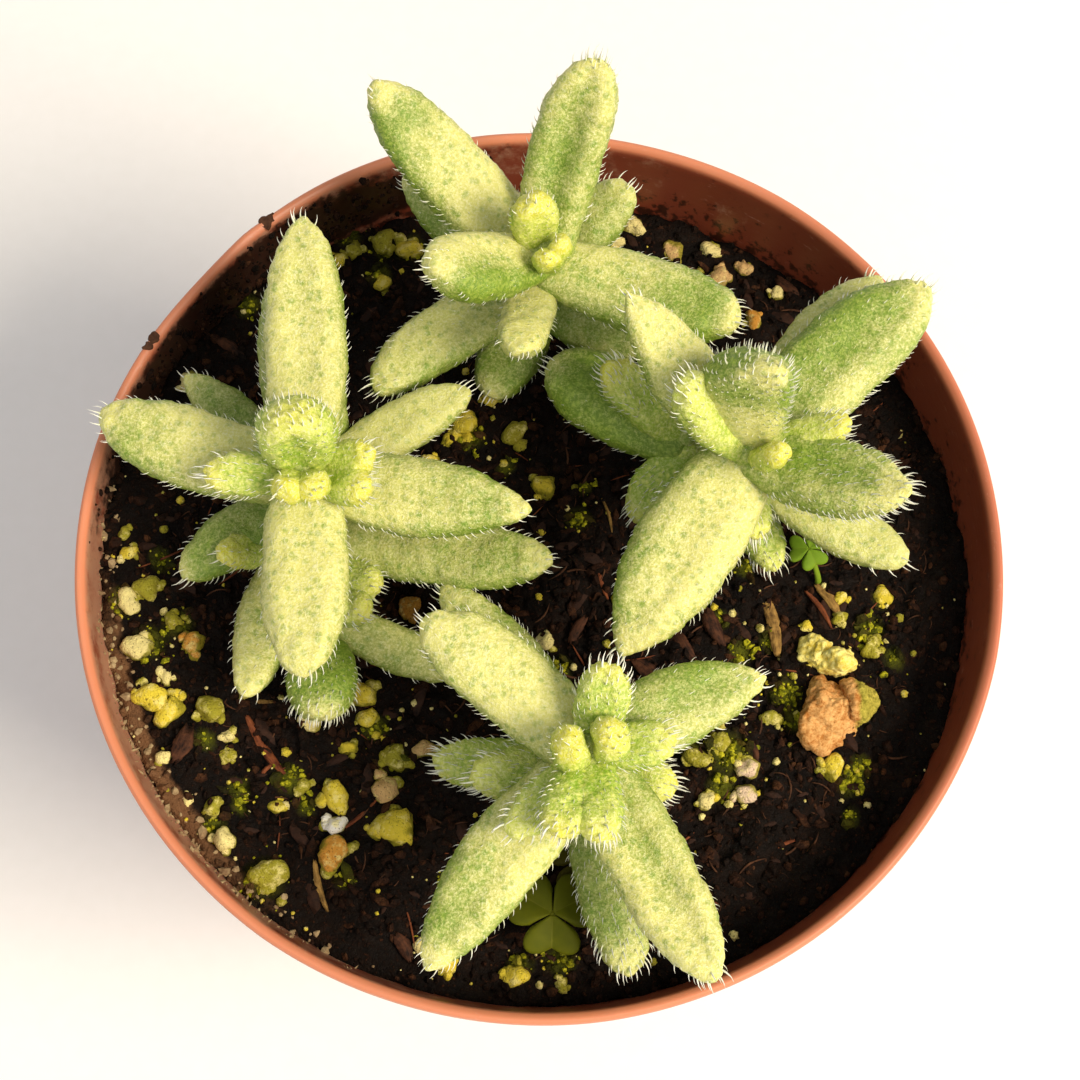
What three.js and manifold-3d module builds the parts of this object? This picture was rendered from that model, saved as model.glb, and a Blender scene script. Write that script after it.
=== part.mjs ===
// Variegated pickle plant in a round nursery pot: four bristly plantlets stand in moist, gritty soil.
// Millimetres, +Z up. The origin is the centre of the pot's flat foot. The back is +Y, the right +X.
// Points of the plants and the soil are given from the middle of the rim's plane, as [x, y, height].
import * as THREE from 'three';
import { mergeVertices } from 'three/addons/utils/BufferGeometryUtils.js';
import Module from 'manifold-3d';

const wasm = await Module();
wasm.setup();

// Clearance between pieces that touch
const GAP = 0.3;

// Pot
const POT_HEIGHT = 76;
const RIM_RADIUS = 45;
const LIP_WIDTH = 1.15;
const LIP_DROP = 1.2;
const BAND_HEIGHT = 13;
const BAND_INNER_RADIUS = 42.4;
const BAND_OUTER_RADIUS = 43.8;
const LEDGE_DROP = 1.2;
const LEDGE_STEP = 1.3;
const FOOT_RADIUS = 31.5;
const FOOT_EDGE = 0.8;
const WALL = 1.3;
const FLOOR = 1.6;
const POT_SIDES = 48;
const DRAIN_COUNT = 8;
const DRAIN_RADIUS = 23;
const DRAIN_LENGTH = 7;
const DRAIN_WIDTH = 4;

// Soil
const SOIL_DROP = 8.5;
const SOIL_RISE_LEFT = 3.5;
const SOIL_FALL_BACK = 3;
const SOIL_MOUND = 0.45;
const SOIL_LUMP = 0.3;
const SOIL_SIDES = 40;
const SOIL_RINGS = [0.86, 0.68, 0.48, 0.26, 0.08];
const GRIT_STAND = 0.12;
const GRIT_FULL = 0.56;
const GRIT_STRAY_COUNT = 12;
const GRIT_CLEAR = 3;
const GRIT_SMALLEST = 1.3;
const GRIT_SPREAD = 0.9;

// Plants
const STEM_RADIUS = 1.9;
const BRANCH_RADIUS = 1.4;
const STEM_SIDES = 8;
const STEM_DEPTH = 10;
const STEM_UPRIGHT = 1;
const HOLE_ABOVE = 2;
const HOLE_SIDES = 12;
const LEAF_SIDES = 8;
const YOUNG_SIDES = 6;
const LEAF_STATIONS = [0, 0.28, 0.58, 0.82, 0.96];
const YOUNG_STATIONS = [0, 0.3, 0.65, 0.92];
const LEAF_NECK = 0.76;
const LEAF_SHOULDER = 0.52;
const POINTED_SHOULDER = 0.38;
const LEAF_BLUNTNESS = 2.5;
const POINTED_BLUNTNESS = 2;
const LEAF_ROUNDNESS = 0.5;
const POINTED_ROUNDNESS = 0.85;
const LEAF_CROWN = 0.28;
const LEAF_BELLY = 0.42;
const YOUNG_CROWN = 0.36;
const YOUNG_POINT = 0.1;
const LEAF_SQUARENESS = 0.87;
const LEAF_SEAT = 0.6;
const LEAF_SAG = 0.04;
const BRISTLE_LENGTH = 1.3;
const BRISTLE_RADIUS = 0.17;
const BRISTLE_ROOT = 0.5;
const BRISTLE_LEAN = 0.5;
const TIP_BRISTLE_LEAN = 9;
const BRISTLES_START = 0.3;
const BRISTLES_REACH = 0.6;
const BRISTLE_SEAT = 0.92;
const BRISTLE_CLEAR = 0.7;
const LEAF_BRISTLES = 8;
const YOUNG_BRISTLES = 4;
const GOLDEN_ANGLE = THREE.MathUtils.degToRad(137.5);

// Clover
const CLOVER_THICKNESS = 0.6;
const CLOVER_STALK_RADIUS = 0.35;
const CLOVER_STALK_DEPTH = 4;
const CLOVER_STALK_UPRIGHT = 0.4;
const CLOVER_STALK_SIDES = 6;
const CLOVER_DROOP = 0.2;

// Each plantlet: its main stem from the soil to its growing tip, its side branches, and its leaves.
// A leaf's row says which stem carries it, how far up that stem, where its tip is, its width, how pointed
// it is from 0 to 1, and how far it bows to its left, as a share of its length.
// Upper leaves come first, because a leaf makes room for the ones before it.
const PLANTLETS = {
  left: {
    foot: [-21.5, 5.5],
    top: [-21.2, 2.8, 15],
    branches: [[[-21.5, 4.6, -2], [-20.4, -11, -0.5]]],
    leaves: [
      { name: 'north', at: 0.86, tip: [-22, 27.5, 15], width: 7.4, point: 0.3 },
      { name: 'south', at: 0.86, tip: [-20.7, -16, 13], width: 7.7, point: 0.4 },
      { name: 'west', at: 0.77, tip: [-40.5, 9.3, 11], width: 7.4, point: 0.2, bow: 0.02 },
      { name: 'east', at: 0.77, tip: [-0.8, -0.3, 12], width: 7.2, point: 0.8 },
      { name: 'low_east', branch: 1, at: 0.2, tip: [1.3, -2.8, 4], width: 6.4, point: 0.2 },
      { name: 'low_north', at: 0.54, tip: [-24.4, 26.8, 5.5], width: 8, point: 0.2 },
      { name: 'low_northeast', at: 0.56, tip: [-6.8, 13.5, 6.5], width: 5.3, point: 0.2, bow: 0.045 },
      { name: 'low_southwest', at: 0.45, tip: [-34, -3.5, 2], width: 5.7, point: 0.2, bow: -0.05 },
      { name: 'low_northwest', at: 0.36, tip: [-35, 17.7, 0], width: 5, point: 0.2 },
      {
        name: 'branch_southwest', branch: 1, at: 0.05, tip: [-27.6, -15, 1],
        width: 6, point: 0.5, bow: -0.05,
      },
      { name: 'branch_southeast', branch: 1, at: 0.74, tip: [-8, -12, -3], width: 4.6, point: 0.3 },
      { name: 'branch_end', branch: 1, at: 0.9, tip: [-20.4, -17.3, 3], width: 6.6, point: 0.3 },
    ],
    young: [
      { at: 0.97, tip: [-21.4, 5.2, 21.5], width: 6.9 },
      { at: 0.97, tip: [-22.3, -0.2, 17.5], width: 3.2 },
      { at: 0.97, tip: [-19.8, -0.1, 17.5], width: 3.2 },
      { at: 0.9, tip: [-14.8, 3.6, 16.5], width: 3.6 },
      { at: 0.9, tip: [-15, 0.2, 16.5], width: 3.6 },
      { at: 0.9, tip: [-30, 2.3, 14.6], width: 3.8 },
      { branch: 1, at: 0.12, tip: [-30, -2.5, 5], width: 3.6 },
      { branch: 1, at: 0.4, tip: [-15.3, -4.6, 1.6], width: 3.8 },
      { branch: 1, at: 0.6, tip: [-16.4, -7.2, 2.4], width: 3.6 },
    ],
  },
  back: {
    foot: [0, 27.5],
    top: [0.4, 23.8, 16],
    branches: [],
    leaves: [
      { name: 'northeast', at: 0.86, tip: [5.6, 38.7, 24], width: 6.9, point: 0, bow: 0.045 },
      { name: 'northwest', at: 0.78, tip: [-15.2, 38.5, 20], width: 7.1, point: 0.15 },
      { name: 'west', at: 0.93, tip: [-9.6, 19, 22], width: 6.6, point: 0 },
      { name: 'east', at: 0.8, tip: [18.8, 18.3, 12], width: 7.5, point: 0.1, bow: 0.01 },
      { name: 'south', at: 0.72, tip: [-2.1, 13.7, 15.5], width: 4.8, point: 0.1 },
      { name: 'low_northeast', at: 0.64, tip: [8.6, 32.3, 12], width: 5.4, point: 0, bow: 0.03 },
      { name: 'low_southwest', at: 0.52, tip: [-16, 14, 5], width: 6.2, point: 0.1, bow: -0.075 },
      { name: 'low_northwest', at: 0.52, tip: [-13.3, 36.6, 6], width: 5.6, point: 0.2 },
      { name: 'low_southeast', at: 0.36, tip: [11, 19.9, 1], width: 6, point: 0.2 },
      { name: 'lowest_southwest', at: 0.3, tip: [-5, 16, -1], width: 6, point: 0.2 },
    ],
    young: [
      { at: 0.97, tip: [-0.5, 25.8, 21.3], width: 4.2 },
      { at: 0.98, tip: [2, 22.6, 19.6], width: 2.4 },
      { at: 0.98, tip: [0.9, 21.4, 19.2], width: 2.6 },
    ],
  },
  right: {
    foot: [19.8, 8.4],
    top: [18.9, 4.8, 15],
    branches: [[[19.6, 7.8, 0], [13.4, 9.8, 4]]],
    leaves: [
      { name: 'erect', at: 0.96, tip: [19.9, 7.6, 26], width: 8, point: 0.4, bow: 0.16 },
      { name: 'northwest', at: 0.9, tip: [7.9, 16.8, 21], width: 6.4, point: 0.8 },
      { name: 'southeast', at: 0.9, tip: [32.1, -1.5, 20], width: 7, point: 0.6 },
      { name: 'northeast', at: 0.84, tip: [36, 20.6, 14.5], width: 8.4, point: 0.2, bow: 0.035 },
      { name: 'southwest', at: 0.84, tip: [7.2, -13.3, 10], width: 9.2, point: 0.8, bow: -0.01 },
      { name: 'low_northeast', at: 0.68, tip: [32.9, 24.4, 8], width: 6, point: 0.1, bow: 0.06 },
      { name: 'low_southeast', at: 0.62, tip: [34.2, -3.5, 6], width: 5.6, point: 0.2 },
      { name: 'branch_west', branch: 1, at: 0.75, tip: [1.1, 18, 2.5], width: 8, point: 0.1 },
    ],
    young: [
      { at: 0.98, tip: [21, 2.4, 19.6], width: 2.8 },
      { at: 0.97, tip: [12.6, 8.1, 22], width: 5 },
      { at: 0.88, tip: [27.6, 6.2, 17], width: 3.4 },
      { branch: 1, at: 0.9, tip: [6.4, 15.4, 8.4], width: 4.4 },
      { branch: 1, at: 0.8, tip: [9.2, 2.6, 0], width: 4.8 },
      { at: 0.66, tip: [19.9, -1.8, 8], width: 3.6 },
      { at: 0.4, tip: [22.6, -2.8, 1], width: 3.8 },
    ],
  },
  front: {
    foot: [4.8, -22],
    top: [4.3, -23, 17],
    branches: [],
    leaves: [
      { name: 'northwest', at: 0.84, tip: [-9.9, -11.5, 16], width: 7.2, point: 0.2, bow: -0.03 },
      { name: 'northeast', at: 0.84, tip: [19.9, -15.8, 12], width: 6.8, point: 0.75, bow: 0.055 },
      { name: 'southeast', at: 0.8, tip: [14.6, -42, 14], width: 6.9, point: 0.4 },
      { name: 'southwest', at: 0.78, tip: [-9.6, -40.6, 10], width: 7.1, point: 0.5, bow: -0.035 },
      { name: 'low_northwest', at: 0.42, tip: [-9.3, -4.4, 0.5], width: 5.8, point: 0.2, bow: -0.04 },
      { name: 'low_south', at: 0.38, tip: [8.2, -40.6, 0], width: 6.4, point: 0.2 },
    ],
    young: [
      { at: 0.98, tip: [2.4, -23.4, 20.5], width: 3.8 },
      { at: 0.98, tip: [5.9, -22.6, 20.5], width: 3.8 },
      { at: 0.95, tip: [6, -16.4, 19], width: 4.4 },
      { at: 0.93, tip: [1.4, -30.6, 19], width: 4.2 },
      { at: 0.93, tip: [5.1, -30.9, 19], width: 4.2 },
      { at: 0.9, tip: [11.5, -22.2, 16.5], width: 3.8 },
      { at: 0.62, tip: [12, -25, 8.5], width: 4 },
      { at: 0.88, tip: [-2.7, -30.2, 15.5], width: 3.4 },
      { at: 0.6, tip: [-6, -24, 8], width: 4.6 },
      { at: 0.4, tip: [-9.8, -21.2, 1], width: 4.8 },
    ],
  },
};

// The grit that shows most, as [x, y, width]
const GRIT = [
  [-40.3, -4.5, 2.4], [-38.5, -3, 2], [-39.2, -9, 2.6], [-38.6, -14, 3], [-35.8, -15, 2.6],
  [-32, -15, 2.8], [-17.2, -13.3, 3], [-19.4, -23.7, 2.8], [-19.5, -26, 2], [-19.7, -28.8, 3.2],
  [-15, -22.5, 2.8], [-14, -26.2, 3.6], [-14, -19.4, 2.4], [-7.6, 15.4, 2.4], [-2.4, 14.6, 2.4],
  [0.5, 8.7, 2.8], [-38.3, 20.6, 2], [10.4, 39.6, 2.2], [8.2, 37.2, 2], [14.2, 36, 2.2],
  [18.4, 36.4, 2.2], [19, 32.6, 2.6], [22, 34.2, 2], [22.8, 27.4, 1.8], [-2.2, -40, 2.4],
  [-8.6, -39.2, 2], [20.4, -20.4, 2.2], [20, -23, 2], [16.2, -23.6, 1.9], [14, -15.8, 2],
  [28.7, -20.2, 2.6], [22.6, -15.4, 2], [-30, -27.4, 2.2], [-26, -31, 2.8], [34.6, -3, 2.2],
];

// The two large stones: middle, size along x, y and z, turn in degrees, and seed of their lumps
const STONES = [
  { name: 'pumice_back', at: [28.6, -9.6], size: [5, 3.8, 4.2], turn: 20, seed: 21 },
  { name: 'pumice_front', at: [29.4, -14.9], size: [7.2, 6.2, 5], turn: -10, seed: 34 },
];
const STONE_SINK = 0.3;
const STONE_ROUGHNESS = 0.14;

// Clover leaves: where the stalk stands, where its three leaflets meet, their length and turn
const CLOVERS = [
  { name: 'clover_front', foot: [1.6, -37], head: [1.2, -34.8, -3], leaflet: 4.2, turn: -92 },
  { name: 'clover_middle', foot: [4.4, -32.6], head: [4.2, -29.6, -4.6], leaflet: 3.4, turn: 20 },
  { name: 'clover_right', foot: [28.1, -1.4], head: [26.8, 1, -4.8], leaflet: 2.3, turn: 130 },
];

const MATERIALS = {
  pot: new THREE.MeshStandardMaterial({ color: '#b4614c', roughness: 0.45, metalness: 0 }),
  soil: new THREE.MeshStandardMaterial({ color: '#2a1c15', roughness: 0.95, metalness: 0 }),
  leaf: new THREE.MeshStandardMaterial({ color: '#b7c97c', roughness: 0.5, metalness: 0 }),
  shadedLeaf: new THREE.MeshStandardMaterial({ color: '#7f9a5b', roughness: 0.5, metalness: 0 }),
  shoot: new THREE.MeshStandardMaterial({ color: '#c3cf5e', roughness: 0.5, metalness: 0 }),
  stone: new THREE.MeshStandardMaterial({ color: '#cfa85f', roughness: 0.9, metalness: 0 }),
  clover: new THREE.MeshStandardMaterial({ color: '#7a8f3e', roughness: 0.6, metalness: 0 }),
};

// A repeatable draw of numbers from 0 to 1
function draws(seed) {
  let state = seed;
  return () => {
    state = (state + 0x6d2b79f5) | 0;
    let mixed = Math.imul(state ^ (state >>> 15), 1 | state);
    mixed = (mixed + Math.imul(mixed ^ (mixed >>> 7), 61 | mixed)) ^ mixed;
    return ((mixed ^ (mixed >>> 14)) >>> 0) / 4294967296;
  };
}

// A point given from the rim's plane, in the part's own frame
function fromRim([x, y, height]) {
  return new THREE.Vector3(x, y, POT_HEIGHT + height);
}

// The solid that a closed geometry bounds
function solidOf(geometry) {
  const bare = geometry.clone();
  bare.deleteAttribute('normal');
  bare.deleteAttribute('uv');
  const merged = mergeVertices(bare, 1e-4);
  const index = merged.index.array;
  const kept = [];
  for (let i = 0; i < index.length; i += 3) {
    const [a, b, c] = index.slice(i, i + 3);
    if (a !== b && b !== c && c !== a) {
      kept.push(a, b, c);
    }
  }
  return new wasm.Manifold(new wasm.Mesh({
    numProp: 3,
    vertProperties: new Float32Array(merged.attributes.position.array),
    triVerts: new Uint32Array(kept),
  }));
}

function geometryOf(solid) {
  const mesh = solid.getMesh();
  const geometry = new THREE.BufferGeometry();
  geometry.setAttribute('position', new THREE.BufferAttribute(mesh.vertProperties, 3));
  geometry.setIndex(new THREE.BufferAttribute(mesh.triVerts, 1));
  return geometry;
}

function unite(solids) {
  return solids.reduce((whole, piece) => whole.add(piece));
}

// The largest body of a cut solid, without the scraps that a graze leaves
function mainBody(solid) {
  const bodies = solid.decompose();
  return bodies.reduce((best, body) => (body.volume() > best.volume() ? body : best));
}

// A closed skin over rings of points, all of one length, closed by a point at each end
function loft(rings, start, end) {
  const sides = rings[0].length;
  const points = [start, ...rings.flat(), end];
  const last = points.length - 1;
  const index = [];
  for (let k = 0; k < sides; k += 1) {
    const next = (k + 1) % sides;
    index.push(0, 1 + next, 1 + k);
    for (let ring = 0; ring < rings.length - 1; ring += 1) {
      const low = 1 + ring * sides;
      const high = low + sides;
      index.push(low + k, low + next, high + next);
      index.push(low + k, high + next, high + k);
    }
    const top = last - sides;
    index.push(last, top + k, top + next);
  }
  const geometry = new THREE.BufferGeometry();
  geometry.setFromPoints(points);
  geometry.setIndex(index);
  return geometry;
}

// A ring of points round a centre, across two half axes
function ringOf(centre, side, up, count) {
  return Array.from({ length: count }, (_, k) => {
    const angle = (2 * Math.PI * k) / count;
    return centre.clone()
      .addScaledVector(side, Math.cos(angle))
      .addScaledVector(up, Math.sin(angle));
  });
}

// Height of the soil's surface from the rim's plane: higher at the left, lower at the back, lumpy
function soilHeight(x, y) {
  const left = Math.max(0, -x / BAND_INNER_RADIUS) ** 1.5;
  const back = Math.max(0, y / BAND_INNER_RADIUS) ** 1.5;
  const mounds = SOIL_MOUND * Math.sin(0.31 * x + 1.3) * Math.cos(0.27 * y);
  const lumps = SOIL_LUMP * Math.sin(0.62 * x - 0.5 * y);
  return -SOIL_DROP + SOIL_RISE_LEFT * left - SOIL_FALL_BACK * back + mounds + lumps;
}

// Radius of the pot's inside, at a height from the rim's plane within the rim band
function bandInside(height) {
  const lip = RIM_RADIUS - LIP_WIDTH;
  return lip + ((BAND_INNER_RADIUS - lip) * -height) / BAND_HEIGHT;
}

function pot() {
  const bandFoot = POT_HEIGHT - BAND_HEIGHT;
  const ledge = bandFoot - LEDGE_DROP;
  const inside = BAND_INNER_RADIUS - LEDGE_STEP;
  const outline = [
    [0, 0],
    [FOOT_RADIUS - FOOT_EDGE, 0],
    [FOOT_RADIUS, FOOT_EDGE],
    [inside + WALL, ledge],
    [BAND_OUTER_RADIUS, bandFoot],
    [RIM_RADIUS - 0.3, POT_HEIGHT - 2 * LIP_DROP],
    [RIM_RADIUS, POT_HEIGHT - LIP_DROP],
    [RIM_RADIUS - 0.2, POT_HEIGHT - 0.3],
    [RIM_RADIUS - LIP_WIDTH / 2, POT_HEIGHT],
    [RIM_RADIUS - LIP_WIDTH, POT_HEIGHT - 0.5],
    [BAND_INNER_RADIUS, bandFoot],
    [inside, ledge],
    [FOOT_RADIUS - WALL, FLOOR + FOOT_EDGE],
    [FOOT_RADIUS - WALL - FOOT_EDGE, FLOOR],
    [0, FLOOR],
  ].map(([radius, height]) => new THREE.Vector2(radius, height));
  const body = solidOf(new THREE.LatheGeometry(outline, POT_SIDES).rotateX(Math.PI / 2));
  const drains = Array.from({ length: DRAIN_COUNT }, (_, k) => {
    const slot = new THREE.BoxGeometry(DRAIN_LENGTH, DRAIN_WIDTH, 4 * FLOOR);
    slot.translate(DRAIN_RADIUS, 0, 0);
    slot.rotateZ((2 * Math.PI * (k + 0.5)) / DRAIN_COUNT);
    return solidOf(slot);
  });
  return body.subtract(unite(drains));
}

// A point on a stem, from its foot at 0 to its tip at 1
function onStem(stem, at) {
  return stem.from.clone().lerp(stem.to, at);
}

// A round stem along points, closed by a low dome at its tip
function rod(points, radius, extra) {
  const direction = points.at(-1).clone().sub(points[0]).normalize();
  const side = new THREE.Vector3(1, 0, 0);
  if (Math.abs(direction.z) < 0.9) {
    side.crossVectors(new THREE.Vector3(0, 0, 1), direction).normalize();
  }
  const up = new THREE.Vector3().crossVectors(direction, side).normalize();
  const reach = radius + extra;
  const rings = points.map((point) => ringOf(
    point, side.clone().multiplyScalar(reach), up.clone().multiplyScalar(reach), STEM_SIDES));
  const start = points[0].clone().addScaledVector(direction, -extra);
  const end = points.at(-1).clone().addScaledVector(direction, radius / 2 + extra);
  return solidOf(loft(rings, start, end));
}

// A plantlet's stems: the main one stands upright in the soil and leans above it
function stemsOf({ foot, top, branches }) {
  const [x, y] = foot;
  const ground = soilHeight(x, y);
  const main = {
    from: fromRim([x, y, ground + STEM_UPRIGHT]),
    to: fromRim(top),
    radius: STEM_RADIUS,
    buried: fromRim([x, y, ground - STEM_DEPTH]),
  };
  const sides = branches.map(([from, to]) => ({
    from: fromRim(from), to: fromRim(to), radius: BRANCH_RADIUS,
  }));
  return [main, ...sides];
}

function stemSolid(stem, extra) {
  const points = [stem.from, stem.to];
  if (stem.buried) {
    points.unshift(stem.buried);
  }
  return rod(points, stem.radius, extra);
}

// A leaf's own frame: its root in the stem, its length, and its forward, side and up directions
function leafOn(stems, { name, branch = 0, at, tip, width, point = YOUNG_POINT, bow = 0 }) {
  const stem = stems[branch];
  const seat = onStem(stem, at);
  const end = fromRim(tip);
  const outward = end.clone().sub(seat).setZ(0).normalize();
  const root = seat.clone().addScaledVector(outward, LEAF_SEAT * stem.radius);
  const forward = end.clone().sub(root);
  const length = forward.length();
  forward.normalize();
  const side = new THREE.Vector3(-outward.y, outward.x, 0);
  const up = new THREE.Vector3().crossVectors(forward, side);
  const crown = name ? LEAF_CROWN : YOUNG_CROWN;
  return { name, width, point, bow, crown, root, length, forward, side, up };
}

// How full a leaf is along its length: a neck at the stem, a long belly, and a tip from blunt to pointed
function swell({ point }, t) {
  const shoulder = THREE.MathUtils.lerp(LEAF_SHOULDER, POINTED_SHOULDER, point);
  const bluntness = THREE.MathUtils.lerp(LEAF_BLUNTNESS, POINTED_BLUNTNESS, point);
  const roundness = THREE.MathUtils.lerp(LEAF_ROUNDNESS, POINTED_ROUNDNESS, point);
  const neck = LEAF_NECK + (1 - LEAF_NECK) * Math.sin((Math.PI / 2) * Math.min(t / shoulder, 1));
  const past = Math.max(0, (t - shoulder) / (1 - shoulder));
  return neck * Math.max(0, 1 - past ** bluntness) ** roundness;
}

// The middle of a leaf, t from 0 at its root to 1 at its tip: it sags and bows a little between the two
function leafMiddle(leaf, t) {
  const bend = 4 * leaf.length * t * (1 - t);
  return leaf.root.clone()
    .addScaledVector(leaf.forward, leaf.length * t)
    .addScaledVector(leaf.side, leaf.bow * bend)
    .addScaledVector(leaf.up, -LEAF_SAG * bend);
}

// Where a leaf's outline stands at an angle round it, as shares of its width: a flat top over a round belly
function leafSection(leaf, angle) {
  const squared = (value) => Math.sign(value) * Math.abs(value) ** LEAF_SQUARENESS;
  const lift = Math.sin(angle);
  return {
    across: squared(Math.cos(angle)) / 2,
    lift: squared(lift) * (lift > 0 ? leaf.crown : LEAF_BELLY),
  };
}

// A leaf, or the room that it takes up with extra round it
function leafSolid(leaf, stations, sides, extra) {
  const rings = stations.map((t) => {
    const full = leaf.width * swell(leaf, t);
    const centre = leafMiddle(leaf, t).addScaledVector(leaf.forward, extra * (2 * t - 1));
    return Array.from({ length: sides }, (_, k) => {
      const angle = (2 * Math.PI * k) / sides;
      const { across, lift } = leafSection(leaf, angle);
      return centre.clone()
        .addScaledVector(leaf.side, full * across + extra * Math.cos(angle))
        .addScaledVector(leaf.up, full * lift + extra * Math.sin(angle));
    });
  });
  const start = leafMiddle(leaf, 0).addScaledVector(leaf.forward, -extra);
  const end = leafMiddle(leaf, 1).addScaledVector(leaf.forward, extra);
  return solidOf(loft(rings, start, end));
}

// Balls that fill the leaves and stems, by which a bristle finds its way clear
const crowd = [];

function crowdWithLeaf(leaf, owner) {
  for (let t = 0.05; t < 1; t += 0.1) {
    crowd.push({ owner, centre: leafMiddle(leaf, t), radius: (leaf.width / 2) * swell(leaf, t) });
  }
}

function crowdWithStem(stem, owner) {
  for (let at = 0; at <= 1; at += 0.1) {
    crowd.push({ owner, centre: onStem(stem, at), radius: stem.radius });
  }
}

function isClear(point, owner) {
  const ground = POT_HEIGHT + soilHeight(point.x, point.y);
  const overSoil = point.z > ground + BRISTLE_CLEAR;
  return overSoil && crowd.every((ball) => ball.owner === owner
    || ball.centre.distanceTo(point) > ball.radius + BRISTLE_CLEAR);
}

function bristle(foot, direction) {
  const length = BRISTLE_LENGTH + BRISTLE_ROOT;
  const cone = new THREE.ConeGeometry(BRISTLE_RADIUS, length, 3);
  cone.translate(0, length / 2 - BRISTLE_ROOT, 0);
  cone.applyQuaternion(new THREE.Quaternion().setFromUnitVectors(new THREE.Vector3(0, 1, 0), direction));
  cone.translate(foot.x, foot.y, foot.z);
  return solidOf(cone);
}

// Bristles spread evenly on all sides of a leaf, from near its root out to its tip
function bristlesOn(leaf, count, owner) {
  const placed = [];
  for (let i = 0; i < count; i += 1) {
    const t = i === count - 1 ? 1 : BRISTLES_START + (BRISTLES_REACH * (i + 0.5)) / count;
    const angle = GOLDEN_ANGLE * (i + leaf.width);
    const { across, lift } = leafSection(leaf, angle);
    const outward = leaf.side.clone().multiplyScalar(across).addScaledVector(leaf.up, lift);
    const foot = leafMiddle(leaf, t).addScaledVector(outward, leaf.width * swell(leaf, t) * BRISTLE_SEAT);
    const lean = t === 1 ? TIP_BRISTLE_LEAN : BRISTLE_LEAN;
    const direction = outward.normalize().addScaledVector(leaf.forward, lean).normalize();
    const tip = foot.clone().addScaledVector(direction, BRISTLE_LENGTH);
    if (isClear(tip, owner) && isClear(foot, owner)) {
      placed.push(bristle(foot, direction));
      crowd.push({ owner: `${owner} bristle ${i}`, centre: tip, radius: 0 });
    }
  }
  return placed;
}

// The soil, from the pot's floor to its lumpy surface, before anything stands in it
function soilBody() {
  const wallTop = POT_HEIGHT - BAND_HEIGHT - LEDGE_DROP;
  const wallInside = BAND_INNER_RADIUS - LEDGE_STEP;
  const below = [
    [FOOT_RADIUS - WALL - FOOT_EDGE - GAP, FLOOR + GAP],
    [FOOT_RADIUS - WALL - GAP, FLOOR + FOOT_EDGE + GAP],
    [wallInside - GAP, wallTop],
    [BAND_INNER_RADIUS - GAP, wallTop + LEDGE_DROP + GAP],
  ];
  const circle = (radius, height) => ringOf(
    new THREE.Vector3(0, 0, height),
    new THREE.Vector3(radius, 0, 0),
    new THREE.Vector3(0, radius, 0),
    SOIL_SIDES);
  const edge = circle(1, 0).map(({ x, y }) => {
    const height = soilHeight(x * BAND_INNER_RADIUS, y * BAND_INNER_RADIUS);
    const radius = bandInside(height) - GAP;
    return fromRim([x * radius, y * radius, height]);
  });
  const surface = SOIL_RINGS.map((share) => edge.map(
    ({ x, y }) => fromRim([x * share, y * share, soilHeight(x * share, y * share)])));
  const rings = [...below.map(([radius, height]) => circle(radius, height)), edge, ...surface];
  const start = new THREE.Vector3(0, 0, FLOOR + GAP);
  return solidOf(loft(rings, start, fromRim([0, 0, soilHeight(0, 0)])));
}

// A lumpy stone: a ball with each corner moved in or out, turned and set in the soil
function stoneSolid({ at: [x, y], size, turn, seed }, extra) {
  const draw = draws(seed);
  const facets = new THREE.IcosahedronGeometry(0.5, 1);
  const ball = mergeVertices(facets.deleteAttribute('normal').deleteAttribute('uv'));
  const corners = ball.attributes.position;
  const corner = new THREE.Vector3();
  for (let i = 0; i < corners.count; i += 1) {
    corner.fromBufferAttribute(corners, i);
    corner.multiplyScalar(1 + STONE_ROUGHNESS * (2 * draw() - 1));
    corners.setXYZ(i, corner.x, corner.y, corner.z);
  }
  ball.scale(...size.map((side) => side + 2 * extra));
  ball.rotateZ(THREE.MathUtils.degToRad(turn));
  const seat = fromRim([x, y, soilHeight(x, y) + size[2] * (0.5 - STONE_SINK)]);
  ball.translate(seat.x, seat.y, seat.z);
  return solidOf(ball);
}

// One grain of grit, sunk into the soil's surface
function grain([x, y, width], draw) {
  const ball = new THREE.OctahedronGeometry(width * GRIT_FULL, 0);
  ball.scale(1, 0.75 + 0.25 * draw(), 0.7);
  ball.rotateX(0.6 * draw());
  ball.rotateZ(2 * Math.PI * draw());
  const seat = fromRim([x, y, soilHeight(x, y) + width * GRIT_STAND * draw()]);
  ball.translate(seat.x, seat.y, seat.z);
  return solidOf(ball);
}

// Grit where it shows most, and strays spread by a seeded draw over what is left of the surface
function grit(kept) {
  const draw = draws(7);
  const places = [...GRIT];
  while (places.length < GRIT.length + GRIT_STRAY_COUNT) {
    const radius = (BAND_INNER_RADIUS - GRIT_CLEAR) * Math.sqrt(draw());
    const turn = 2 * Math.PI * draw();
    const [x, y] = [radius * Math.cos(turn), radius * Math.sin(turn)];
    const apart = [...kept, ...places].every(([u, v]) => Math.hypot(x - u, y - v) > GRIT_CLEAR);
    if (apart) {
      places.push([x, y, GRIT_SMALLEST + GRIT_SPREAD * draw()]);
    }
  }
  return places.map((place) => grain(place, draw));
}

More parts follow.
